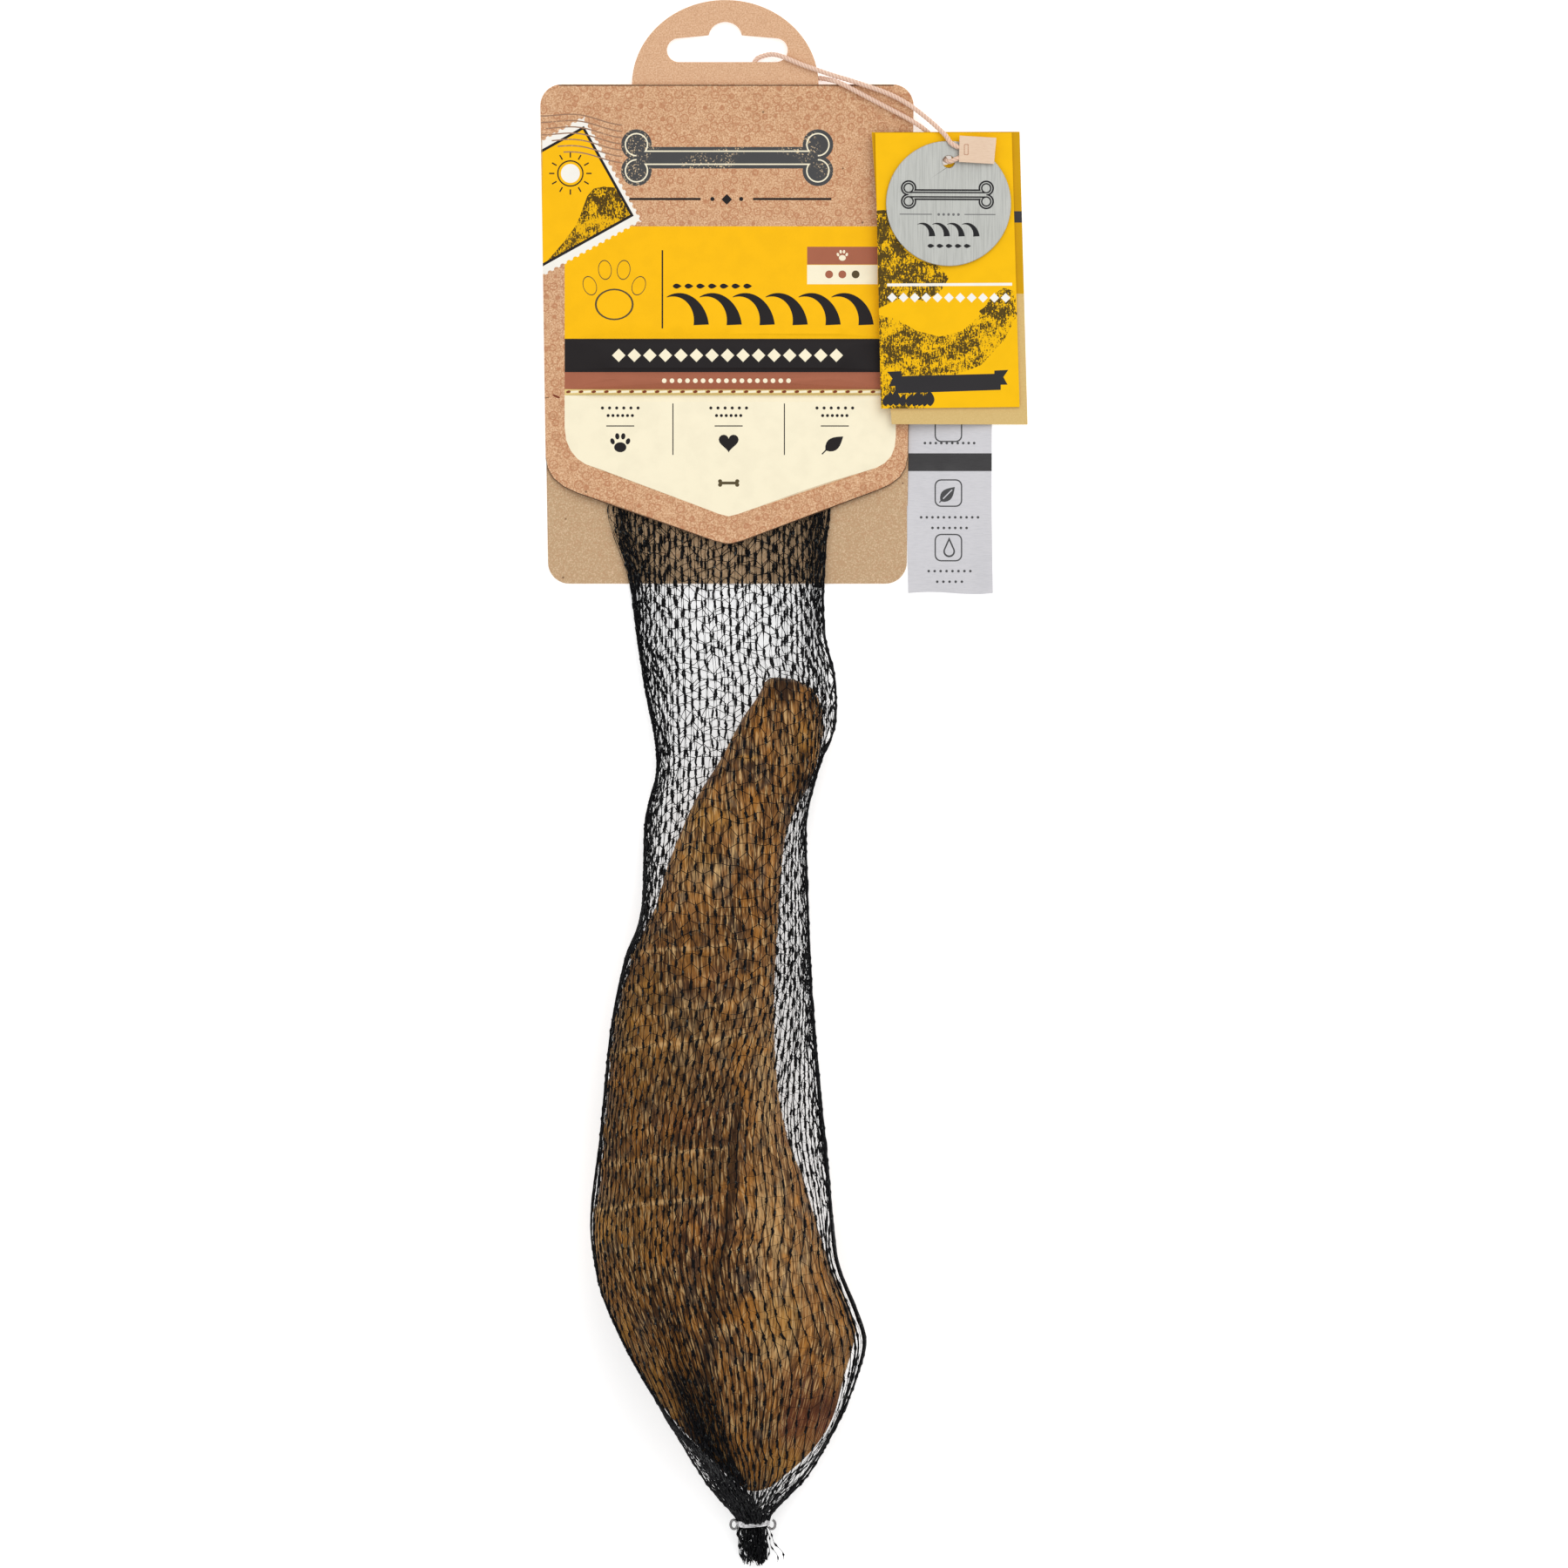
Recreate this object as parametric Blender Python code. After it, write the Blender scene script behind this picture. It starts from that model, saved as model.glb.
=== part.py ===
"""Goat horn chew in a knitted net sleeve under a kraft header card, laid on its back.

The card and the horn lie flat on a surface at Z = 0. X runs across the card, Y runs along
the horn towards the hanging tab, and Z points up, away from the surface. Sizes are in
millimetres, and the meshes are written in metres. Run with blender --background --python part.py.
"""

import math

import bmesh
import bpy
from mathutils import Vector
from mathutils.geometry import delaunay_2d_cdt

MM = 0.001

# Clearances between touching pieces
GAP = 0.3
SLIVER_AREA = 0.01
NET_WALL = 0.4
NET_ROOM = 1.6
NET_ROOM_OVER = 2.4

# Header card
BACK_THICKNESS = 0.5
FRONT_THICKNESS = 0.4
CARD_TOP_Y = 184.6
CARD_CORNER = 5.6
TAB_CENTRE = (-15.5, 184.6)
TAB_HALF_WIDTH = 24.6
TAB_HEIGHT = 22.3
SLOT_X = (-30.9, 1.0)
SLOT_Y = (190.5, 196.8)
SLOT_BUMP_HALF_WIDTH = 4.4
SLOT_BUMP_TOP = 200.9
HEAD_LIFT = 1.45
HEAD_LIFT_Y = (170.0, 185.2)
HEAD_ROWS = (170.5, 174.0, 177.5, 181.0, 183.8)
NET_BULGE = 1.6

# Net sleeve: edges seen from above, as (y, x)
NET_LEFT = [
    (92.0, -47.0), (73.0, -46.6), (53.0, -40.7), (38.8, -38.8), (25.4, -36.7), (9.8, -33.8),
    (4.0, -33.4), (-4.0, -35.4), (-11.2, -36.8), (-29.6, -37.1), (-37.6, -38.4), (-44.3, -41.3),
    (-63.4, -45.3), (-92.3, -48.2), (-115.8, -50.7), (-127.5, -49.3), (-139.3, -45.5),
    (-151.0, -39.7), (-168.0, -30.2), (-184.1, -20.5), (-190.1, -15.4), (-193.4, -12.3),
]
NET_RIGHT = [
    (92.0, 12.5), (73.0, 12.1), (62.4, 10.9), (46.6, 10.3), (39.2, 10.7), (27.7, 13.4),
    (21.3, 13.7), (15.1, 13.4), (8.2, 10.5), (0.1, 7.9), (-11.2, 5.7), (-29.6, 6.2),
    (-52.3, 7.2), (-78.1, 9.1), (-101.1, 11.4), (-124.5, 13.7), (-139.3, 19.3), (-146.4, 21.3),
    (-152.4, 20.1), (-161.3, 17.1), (-174.0, 11.0), (-182.5, 6.0), (-187.6, 1.0),
    (-190.9, -2.4), (-193.4, -3.7),
]
NET_EDGE_Z_LEFT = [
    (92.0, 1.45), (60.0, 1.45), (45.0, 2.6), (28.0, 5.0), (-10.0, 6.5), (-40.0, 13.0),
    (-70.0, 16.0), (-120.0, 19.0), (-160.0, 14.0), (-180.0, 8.0), (-193.4, 6.0),
]
NET_EDGE_Z_RIGHT = [
    (92.0, 1.45), (60.0, 1.45), (45.0, 2.6), (28.0, 8.0), (5.0, 9.0), (-20.0, 8.0),
    (-60.0, 7.0), (-100.0, 9.0), (-125.0, 14.0), (-143.0, 17.0), (-165.0, 12.0), (-180.0, 8.0),
    (-193.4, 6.0),
]
NET_FLAT_Z = 1.45
NET_FLAT_HALF_HEIGHT = 0.65
NET_SECTIONS = [
    92.0, 82.0, 72.0, 63.0, 56.0, 50.0, 44.0, 38.0, 33.0, 29.0, 25.0, 19.0, 11.0, 3.0, -6.0,
    -17.0, -29.0, -41.0, -54.0, -68.0, -82.0, -96.0, -110.0, -120.0, -129.0, -138.0, -146.0,
    -153.0, -160.0, -168.0, -176.0, -182.0, -186.5, -190.0, -193.4,
]
NET_AROUND = 24
NECK_CENTRE = (-8.0, 6.0)
NECK_HALF_WIDTH = 4.3
NECK_HALF_HEIGHT = 3.3
TAIL_END_Y = -206.9
TIE_Y = -194.9
TIE_WIRE_RADIUS = 1.05

# Horn: edges seen from above, as (y, x), and thickness and underside along it, as (y, z)
HORN_LEFT = [
    (28.0, -4.4), (22.9, -7.0), (17.6, -10.7), (6.1, -16.9), (-3.1, -22.7), (-11.2, -26.6),
    (-21.7, -30.7), (-32.3, -33.9), (-42.9, -39.3), (-58.5, -43.8), (-69.1, -45.7),
    (-92.3, -47.6), (-104.1, -48.6), (-115.8, -49.6), (-127.5, -48.4),
]
HORN_RIGHT = [
    (28.0, 6.2), (19.7, 9.9), (15.1, 10.4), (7.9, 9.2), (-0.8, 6.3), (-5.9, 3.3), (-16.4, 0.1),
    (-37.6, -1.5), (-58.5, -2.4), (-69.1, -2.2), (-80.6, -1.3), (-92.3, 1.0), (-104.1, 5.2),
    (-115.8, 8.6), (-127.5, 12.6), (-139.3, 17.6), (-143.4, 19.0),
]
HORN_THICKNESS = [
    (28.0, 15.0), (22.0, 17.0), (5.0, 20.0), (-25.0, 24.0), (-60.0, 29.0), (-95.0, 34.5),
    (-125.0, 38.5), (-145.0, 36.5), (-168.0, 28.0), (-187.0, 18.0),
]
HORN_UNDERSIDE = [(28.0, 3.0), (0.0, 2.3), (-40.0, 2.0), (-90.0, 1.7), (-130.0, 1.5), (-187.0, 1.8)]
HORN_INSET = 0.4
HORN_TIP_Y = 28.7
HORN_SLOPE = [(28.0, -0.16), (10.0, 0.0), (-20.0, 0.2), (-45.0, 0.3), (-118.0, 0.3)]
GROOVE_AT = [
    (28.0, 0.2), (-22.0, 0.3), (-68.0, 0.6), (-92.0, 0.5), (-107.0, 0.35), (-124.0, 0.12),
    (-139.0, -0.1), (-165.0, -0.3), (-187.0, -0.3),
]
GROOVE_DEPTH = [
    (28.0, 0.0), (0.0, 0.5), (-40.0, 1.2), (-70.0, 1.8), (-110.0, 2.4), (-140.0, 1.9),
    (-165.0, 0.8), (-187.0, 0.2),
]
GROOVE_HALF_WIDTH = 0.17
GROWTH_RINGS = [-43.6, -52.8, -60.8, -68.9, -78.1, -90.7, -97.6, -107.5, -113.7]
RING_HEIGHT = 0.9
RING_RISE = 3.4
BASE_START = -118.0
HORN_RIM = [
    (-48.4, -127.5), (-47.0, -133.5), (-44.6, -139.3), (-38.8, -151.0), (-32.0, -160.2),
    (-20.0, -174.5), (-12.5, -183.0), (-8.2, -185.6), (-4.0, -184.9), (0.3, -182.0),
    (6.4, -176.5), (10.7, -170.8), (13.3, -165.4), (16.1, -154.7), (17.9, -148.9), (19.0, -143.4),
]
RIM_INSET = 3.8
RIM_BACK_RISE = 20.0
HORN_AROUND = 32
HOLLOW_END_Y = -66.0
HOLLOW_STEPS = 6
HORN_WALL = 3.4

# Swing tags, disc, label and ribbon, in a plane that leans from the card down to the surface
LEAN_Z = 2.7
LEAN_X = 34.3
LEAN_SLOPE = 0.0867
LEAF_THICKNESS = 0.4
DISC_THICKNESS = 0.8
LEAF_GAP = 0.25
BACK_LEAF = [(23.1, 171.9), (28.4, 94.9), (64.3, 94.9), (62.2, 172.2)]
FRONT_LEAF = [(24.0, 171.7), (25.6, 99.0), (62.2, 99.5), (60.1, 171.9)]
LEAF_HOLE = (42.9, 164.7)
LEAF_HOLE_RADIUS = 3.0
DISC_CENTRE = (43.4, 153.1)
DISC_RADIUS = 16.5
DISC_HOLE = (43.4, 164.1)
DISC_HOLE_RADIUS = 1.6
LABEL_CORNERS = [(46.3, 170.9), (46.1, 164.0), (55.4, 163.5), (56.0, 170.4)]
LABEL_THICKNESS = 1.7
RIBBON_THICKNESS = 0.3
RIBBON_TOP = (34.9, 169.0)
RIBBON_FOOT = (33.0, 50.4)
RIBBON_WIDTH = 22.8
RIBBON_RAMP_Y = (138.0, 158.0)
RIBBON_HOLE = (41.9, 165.5)
RIBBON_HOLE_RADIUS = 3.0

# Hang cord: points of its centre line from the label, round the tab and back
CORD_RADIUS = 0.65
CORD_SPACING = 2.6
CORD_ROUTE = [
    (45.85, 167.9, 4.95), (44.0, 169.0, 4.9), (42.6, 171.0, 4.4), (40.2, 173.4, 3.75),
    (37.1, 176.1, 3.25), (33.4, 178.9, 3.0), (28.6, 181.6, 3.3), (23.4, 183.6, 3.5),
    (17.4, 185.6, 3.4), (12.5, 187.1, 2.9), (8.4, 188.5, 2.7), (4.4, 189.9, 2.68),
    (1.3, 191.2, 2.78), (-0.55, 191.95, 2.66), (-2.0, 192.4, 2.0), (-3.4, 192.6, 1.2),
    (-5.2, 192.3, 0.74), (-7.2, 191.4, 0.72), (-8.0, 189.4, 0.72), (-7.2, 187.4, 0.72),
    (-5.1, 186.6, 0.72), (0.0, 186.5, 0.72), (5.0, 186.5, 0.72), (9.7, 186.3, 0.76),
    (11.7, 185.9, 1.85), (13.6, 185.35, 3.2), (16.2, 184.2, 3.5), (20.6, 181.9, 3.32),
    (25.6, 179.3, 2.88), (30.6, 176.7, 2.52), (33.8, 174.9, 2.34), (36.6, 173.1, 1.55),
    (38.8, 171.2, 0.84), (40.1, 169.2, 0.72), (40.9, 167.7, 0.86), (41.6, 166.2, 1.4),
    (42.4, 164.9, 2.4), (43.0, 164.3, 3.5), (44.0, 164.2, 4.6), (45.85, 165.0, 5.05),
]


def smoothstep(low, high, value):
    """Return 0 below low, 1 above high and a smooth rise between them."""
    share = min(max((value - low) / (high - low), 0.0), 1.0)
    return share * share * (3.0 - 2.0 * share)


def along(stations, at):
    """Read a smooth curve through (position, value) stations, held flat past both ends."""
    rows = sorted(stations)
    if at <= rows[0][0]:
        return rows[0][1]
    if at >= rows[-1][0]:
        return rows[-1][1]
    index = max(i for i, row in enumerate(rows) if row[0] <= at)
    low, high = rows[index], rows[index + 1]
    span = high[0] - low[0]
    rise = (high[1] - low[1]) / span

    def slope_at(i):
        if i <= 0 or i >= len(rows) - 1:
            return rise
        before = (rows[i][1] - rows[i - 1][1]) / (rows[i][0] - rows[i - 1][0])
        after = (rows[i + 1][1] - rows[i][1]) / (rows[i + 1][0] - rows[i][0])
        return 0.0 if before * after <= 0.0 else 2.0 * before * after / (before + after)

    share = (at - low[0]) / span
    start, end = slope_at(index) * span, slope_at(index + 1) * span
    square, cube = share * share, share ** 3
    return (
        (2 * cube - 3 * square + 1) * low[1] + (cube - 2 * square + share) * start
        + (3 * square - 2 * cube) * high[1] + (cube - square) * end
    )


def material(name, colour, roughness, metallic=0.0):
    """Make a plain Principled material."""
    made = bpy.data.materials.new(name)
    made.use_nodes = True
    shader = made.node_tree.nodes["Principled BSDF"]
    shader.inputs["Base Color"].default_value = (*colour, 1.0)
    shader.inputs["Roughness"].default_value = roughness
    shader.inputs["Metallic"].default_value = metallic
    return made


def add_object(name, points, faces, finish, smooth_degrees=None):
    """Add a closed mesh whose points are in millimetres."""
    mesh = bpy.data.meshes.new(name)
    mesh.from_pydata([Vector(point) * MM for point in points], [], faces)
    shape = bmesh.new()
    shape.from_mesh(mesh)
    bmesh.ops.recalc_face_normals(shape, faces=shape.faces)
    shape.to_mesh(mesh)
    shape.free()
    mesh.materials.append(finish)
    if smooth_degrees is not None:
        mesh.shade_smooth()
        mesh.set_sharp_from_angle(angle=math.radians(smooth_degrees))
    made = bpy.data.objects.new(name, mesh)
    bpy.context.scene.collection.objects.link(made)
    return made


def arc(centre, radius_x, radius_y, start, end, steps):
    """Return points on an elliptical arc, angles in degrees."""
    return [
        (
            centre[0] + radius_x * math.cos(math.radians(start + (end - start) * i / steps)),
            centre[1] + radius_y * math.sin(math.radians(start + (end - start) * i / steps)),
        )
        for i in range(steps + 1)
    ]


def inside(outline, x, y):
    """Tell whether a point lies inside a closed outline."""
    hits = False
    for (x0, y0), (x1, y1) in zip(outline, outline[1:] + outline[:1]):
        if (y0 > y) != (y1 > y) and x < x0 + (y - y0) / (y1 - y0) * (x1 - x0):
            hits = not hits
    return hits


def cross_rows(outline, rows):
    """Add a point to the outline wherever it crosses one of the rows, so that it can bend there."""
    bent = []
    for (x0, y0), (x1, y1) in zip(outline, outline[1:] + outline[:1]):
        bent.append((x0, y0))
        crossed = [y for y in rows if min(y0, y1) + 0.5 < y < max(y0, y1) - 0.5]
        for y in sorted(crossed, reverse=y1 < y0):
            bent.append((x0 + (x1 - x0) * (y - y0) / (y1 - y0), y))
    return bent


def sheet(name, outline, holes, low_z, thickness, finish, inner_points=()):
    """Add a thin plate between low_z(x, y) and the same surface raised by its thickness."""
    outline = cross_rows(outline, sorted({y for _, y in inner_points}))
    loops = [outline] + holes
    flat = []
    edges = []
    for loop in loops:
        first = len(flat)
        flat += loop
        edges += [(first + i, first + (i + 1) % len(loop)) for i in range(len(loop))]
    rim_count = len(flat)
    flat += [p for p in inner_points if inside(outline, *p) and not any(inside(h, *p) for h in holes)]
    points_2d, _, triangles, _, _, _ = delaunay_2d_cdt([Vector(p) for p in flat], edges, [], 0, 1e-5)
    assert len(points_2d) == len(flat), f"{name}: outline points merge or cross"
    kept = []
    for face in triangles:
        a, b, c = (points_2d[i] for i in face)
        middle = (a + b + c) / 3
        sliver = abs((b - a).cross(c - a)) < SLIVER_AREA
        if not sliver and inside(outline, *middle) and not any(inside(h, *middle) for h in holes):
            kept.append(tuple(face))
    count = len(flat)
    points = [(x, y, low_z(x, y)) for x, y in flat]
    points += [(x, y, low_z(x, y) + thickness) for x, y in flat]
    faces = [face[::-1] for face in kept] + [tuple(i + count for i in face) for face in kept]
    faces += [(a, b, b + count, a + count) for a, b in edges[:rim_count]]
    return add_object(name, points, faces, finish)


def card_lift(y):
    """Return how far the head of the card bends up to clear the cord under the tab."""
    return HEAD_LIFT * smoothstep(*HEAD_LIFT_Y, y)


def slot_outline():
    """Return the round-ended slot with its round bump, anticlockwise."""
    middle = (SLOT_Y[0] + SLOT_Y[1]) / 2
    radius = (SLOT_Y[1] - SLOT_Y[0]) / 2
    right = arc((SLOT_X[1] - radius, middle), radius, radius, -90, 90, 8)
    bump_height = SLOT_BUMP_TOP - SLOT_Y[1]
    bump = arc((TAB_CENTRE[0], SLOT_Y[1] + 0.2), SLOT_BUMP_HALF_WIDTH, bump_height, 8, 172, 8)
    left = arc((SLOT_X[0] + radius, middle), radius, radius, 90, 270, 8)
    return right + bump + left


def back_card_outline():
    """Return the plain back card with its half-round hanging tab."""
    corner = CARD_CORNER
    outline = arc((32.4 - corner, 52.9 + corner), corner, corner, -90, 0, 5)
    outline += arc((34.2 - corner, CARD_TOP_Y - corner), corner, corner, 0, 90, 5)
    outline += arc(TAB_CENTRE, TAB_HALF_WIDTH, TAB_HEIGHT, 0, 180, 28)
    outline += arc((-64.2 + corner, CARD_TOP_Y - corner), corner, corner, 90, 180, 5)
    outline += arc((-62.3 + corner, 52.9 + corner), corner, corner, 180, 270, 5)
    return outline


def front_card_outline():
    """Return the printed front card with its pointed foot."""
    corner = CARD_CORNER
    outline = [(-14.6, 63.5), (-10.6, 64.0), (24.6, 77.4), (30.6, 80.4), (32.2, 85.0)]
    outline += arc((34.2 - corner, CARD_TOP_Y - corner), corner, corner, 0, 90, 5)
    outline += arc((-64.3 + corner, CARD_TOP_Y - corner), corner, corner, 90, 180, 5)
    outline += [(-62.9, 85.5), (-60.6, 80.8), (-54.6, 76.7), (-18.6, 64.1)]
    return outline


def front_card_low(x, y):
    """Return the underside of the front card, which rises over the net's mouth."""
    across = smoothstep(-62.5, -47.0, x) * (1.0 - smoothstep(14.0, 31.0, x))
    down = 1.0 - smoothstep(97.0, 140.0, y)
    return BACK_THICKNESS + GAP + card_lift(y) + NET_BULGE * across * down


def header_card_back():
    """Add the back card, which lies on the surface, with the slot through its tab."""
    rows = [(x, y) for y in HEAD_ROWS for x in range(-58, 32, 11)]
    kraft = material("kraft card back", (0.52, 0.36, 0.21), 0.85)
    sheet("header_card_back", back_card_outline(), [slot_outline()],
          lambda x, y: card_lift(y), BACK_THICKNESS, kraft, rows)


def header_card_front():
    """Add the front card, bent over the net."""
    grid = [(x, y) for y in range(75, 142, 11) for x in range(-61, 32, 8)]
    grid += [(x, y) for y in HEAD_ROWS for x in range(-58, 32, 11)]
    kraft = material("kraft card front", (0.68, 0.42, 0.24), 0.8)
    sheet("header_card_front", front_card_outline(), [], front_card_low, FRONT_THICKNESS, kraft, grid)


def horn_limits(y):
    """Return the horn's left and right side at y, held at full width past the base's sides."""
    return along(HORN_LEFT, y) + HORN_INSET, along(HORN_RIGHT, y) - HORN_INSET


def horn_section(y, share_x, share_z, shrink=0.0):
    """Return a point on the horn's section at y, from the section's cosine and sine."""
    left, right = horn_limits(y)
    centre_x, half_width = (left + right) / 2, (right - left) / 2 - shrink
    half_height = along(HORN_THICKNESS, y) / 2
    centre_z = along(HORN_UNDERSIDE, y) + half_height
    half_height -= shrink
    z = centre_z + half_height * math.copysign(abs(share_z) ** 0.92, share_z)
    if not shrink:
        offset = (share_x - along(GROOVE_AT, y)) / GROOVE_HALF_WIDTH
        z -= math.copysign(along(GROOVE_DEPTH, y), share_z) * math.exp(-offset * offset) * abs(share_z)
    return centre_x + half_width * share_x, z


def ring_height(station, share_x, y):
    """Return how far the growth rings stand out, mostly on the keel side of the groove."""
    height = 0.0
    for index, ring in enumerate(GROWTH_RINGS):
        offset = station - ring
        width = RING_RISE * (0.55 if offset > 0 else 1.0)
        height += (0.75 + 0.25 * math.sin(2.3 * index)) * math.exp(-((offset / width) ** 2))
    groove = along(GROOVE_AT, y)
    side = 1.0 - 0.8 * smoothstep(groove - 0.15, groove + 0.2, share_x)
    return RING_HEIGHT * side * (height - 0.4)


def station_y(station, share_x):
    """Return where one growth station's slanting line crosses a share of the horn's width."""
    left, right = horn_limits(station)
    return station + along(HORN_SLOPE, station) * (right - left) / 2 * (share_x + 1.0)


def horn_station(station, share_x, share_z):
    """Return a point of the horn's side on the slanting line of one growth station."""
    y = station_y(station, share_x)
    x, z = horn_section(y, share_x, share_z)
    centre_z = along(HORN_UNDERSIDE, y) + along(HORN_THICKNESS, y) / 2
    centre_x = sum(horn_limits(y)) / 2
    reach = math.hypot(x - centre_x, z - centre_z)
    scale = 1.0 + (ring_height(station, share_x, y) if station < -36 else 0.0) / reach
    return centre_x + (x - centre_x) * scale, y, centre_z + (z - centre_z) * scale


def rim_y(share_x, share_z):
    """Return where the horn's open base is cut, as a tongue that is shorter underneath."""
    left, right = HORN_RIM[0][0], HORN_RIM[-1][0]
    x = (left + right) / 2 + (right - left) / 2 * share_x
    y = along(HORN_RIM, x) + RIM_INSET
    return y + RIM_BACK_RISE * max(-share_z, 0.0)


def horn():
    """Add the horn: a ringed sheath with a blunt tip and a hollow, tongue-shaped base."""
    turns = [2 * math.pi * i / HORN_AROUND for i in range(HORN_AROUND)]
    stations = [27.4, 23.0, 17.5, 10.0, 2.0, -6.0, -14.0, -22.0, -30.0, -37.0]
    for ring, following in zip(GROWTH_RINGS, GROWTH_RINGS[1:] + [-119.5]):
        stations += [ring + 1.2, ring - 0.9, (ring + following) / 2 - 0.6]
    rows = []
    left, right = horn_limits(HORN_TIP_Y)
    tip_z = along(HORN_UNDERSIDE, HORN_TIP_Y) + along(HORN_THICKNESS, HORN_TIP_Y) / 2
    for share, rise in ((0.45, 0.0), (0.8, -0.35)):
        rows.append([
            (
                (left + right) / 2 + share * (right - left) / 2 * math.cos(turn),
                HORN_TIP_Y + rise - 0.9 * (1.0 + math.cos(turn)),
                tip_z + share * 7.0 * math.sin(turn),
            )
            for turn in turns
        ])
    for station in stations:
        rows.append([horn_station(station, math.cos(turn), math.sin(turn)) for turn in turns])
    base_steps = 8
    for step in range(1, base_steps + 1):
        row = []
        for turn in turns:
            share_x, share_z = math.cos(turn), math.sin(turn)
            start = station_y(BASE_START, share_x)
            y = start + (rim_y(share_x, share_z) - start) * step / base_steps
            x, z = horn_section(y, share_x, share_z)
            row.append((x, y, z))
        rows.append(row)
    for step in range(HOLLOW_STEPS + 1):
        share = step / HOLLOW_STEPS
        row = []
        for turn in turns:
            share_x, share_z = math.cos(turn), math.sin(turn)
            start = rim_y(share_x, share_z)
            y = start + (HOLLOW_END_Y - start) * share
            wall = HORN_WALL + 3.0 * share
            x, z = horn_section(y, share_x, share_z, wall)
            if step == HOLLOW_STEPS:
                centre_x = sum(horn_limits(y)) / 2
                centre_z = along(HORN_UNDERSIDE, y) + along(HORN_THICKNESS, y) / 2
                x, z = centre_x + (x - centre_x) * 0.5, centre_z + (z - centre_z) * 0.5
            row.append((x, y, z))
        rows.append(row)
    points = [point for row in rows for point in row]
    faces = []
    for row in range(len(rows) - 1):
        for i in range(HORN_AROUND):
            j = (i + 1) % HORN_AROUND
            a, b = row * HORN_AROUND, (row + 1) * HORN_AROUND
            faces.append((a + i, a + j, b + j, b + i))
    for row in (0, len(rows) - 1):
        middle = [sum(p[k] for p in rows[row]) / HORN_AROUND for k in range(3)]
        points.append(tuple(middle))
        first = row * HORN_AROUND
        faces += [(first + i, first + (i + 1) % HORN_AROUND, len(points) - 1) for i in range(HORN_AROUND)]
    sheath = material("horn sheath", (0.19, 0.10, 0.045), 0.55)
    add_object("horn", points, faces, sheath, 50)


def net_core(y):
    """Return the points that the net is stretched over at y: the horn, or a small oval past it."""
    horn_top_y = HORN_LEFT[0][0]
    tongue_y = min(row[1] for row in HORN_RIM)
    if tongue_y + 1.0 < y < horn_top_y - 1.0:
        left, right = horn_limits(y)
        centre_x, half_width = (left + right) / 2, (right - left) / 2
        half_height = along(HORN_THICKNESS, y) / 2
        centre_z = along(HORN_UNDERSIDE, y) + half_height
        turns = [math.pi * i / 180 for i in range(181)]
        covered = [t for t in turns if y >= along(HORN_RIM, centre_x - half_width * math.cos(t))]
        points = []
        for i in range(33):
            share_x = -math.cos(covered[0] + (covered[-1] - covered[0]) * i / 32)
            share_z = math.sqrt(max(1.0 - share_x * share_x, 0.0)) ** 0.92
            x = centre_x + (half_width + NET_ROOM) * share_x
            points.append((x, centre_z + (half_height + NET_ROOM_OVER) * share_z))
            points.append((x, centre_z - (half_height + NET_ROOM) * share_z))
        if y < HORN_RIM[0][1]:
            points.append((points[0][0] - NET_ROOM, points[0][1]))
        if y < HORN_RIM[-1][1]:
            points.append((points[-2][0] + NET_ROOM, points[-2][1]))
        return points
    if y >= horn_top_y - 1.0:
        share = min(max((y - HORN_TIP_Y - 0.8) / 33.0, 0.0), 1.0) ** 0.6
        start, end = (1.0, 10.5, 6.6, 9.2), (-17.0, NET_FLAT_Z, 24.0, NET_FLAT_HALF_HEIGHT)
    else:
        share = min((tongue_y + 1.0 - y) / (tongue_y + 1.0 - NET_SECTIONS[-1]), 1.0) ** 0.8
        start, end = (-8.2, 11.6, 9.0, 12.2), (*NECK_CENTRE, 3.0, NECK_HALF_HEIGHT)
    x, z, half_width, half_height = (a + (b - a) * share for a, b in zip(start, end))
    return [
        (x + half_width * math.cos(math.pi * i / 8), z + half_height * math.sin(math.pi * i / 8))
        for i in range(16)
    ]


def net_edges(y, core):
    """Return the sleeve's left and right edge at y, level with the horn where the net hugs it."""
    edges = []
    middle = sum(z for _, z in core) / len(core)
    for sides, heights, reach in (
        (NET_LEFT, NET_EDGE_Z_LEFT, min(x for x, _ in core)),
        (NET_RIGHT, NET_EDGE_Z_RIGHT, max(x for x, _ in core)),
    ):
        x = along(sides, y)
        slack = smoothstep(0.3, 4.0, abs(x - reach))
        edges.append((x, middle + (along(heights, y) - middle) * slack))
    return edges


def hull_side(points, up):
    """Return the upper or lower side of the taut outline round the points, left to right."""
    side = []
    for point in sorted(points):
        while len(side) > 1:
            (x0, z0), (x1, z1) = side[-2], side[-1]
            turn = (x1 - x0) * (point[1] - z0) - (z1 - z0) * (point[0] - x0)
            if (turn < 0) == up and turn != 0:
                break
            side.pop()
        side.append(point)
    return side


def read_side(side, x):
    """Read the height of a polyline that runs left to right."""
    for (x0, z0), (x1, z1) in zip(side, side[1:]):
        if x <= x1 and x1 > x0:
            return z0 + (z1 - z0) * max(x - x0, 0.0) / (x1 - x0)
    return side[-1][1]


def equal_steps(side, count):
    """Return count + 1 points at equal steps along a polyline."""
    lengths = [0.0]
    for (x0, z0), (x1, z1) in zip(side, side[1:]):
        lengths.append(lengths[-1] + math.hypot(x1 - x0, z1 - z0))
    points = []
    index = 0
    for step in range(count + 1):
        target = lengths[-1] * step / count
        while index < len(side) - 2 and lengths[index + 1] < target:
            index += 1
        span = lengths[index + 1] - lengths[index]
        share = min(max((target - lengths[index]) / span, 0.0), 1.0) if span else 0.0
        (x0, z0), (x1, z1) = side[index], side[index + 1]
        points.append((x0 + (x1 - x0) * share, z0 + (z1 - z0) * share))
    return points


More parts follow.
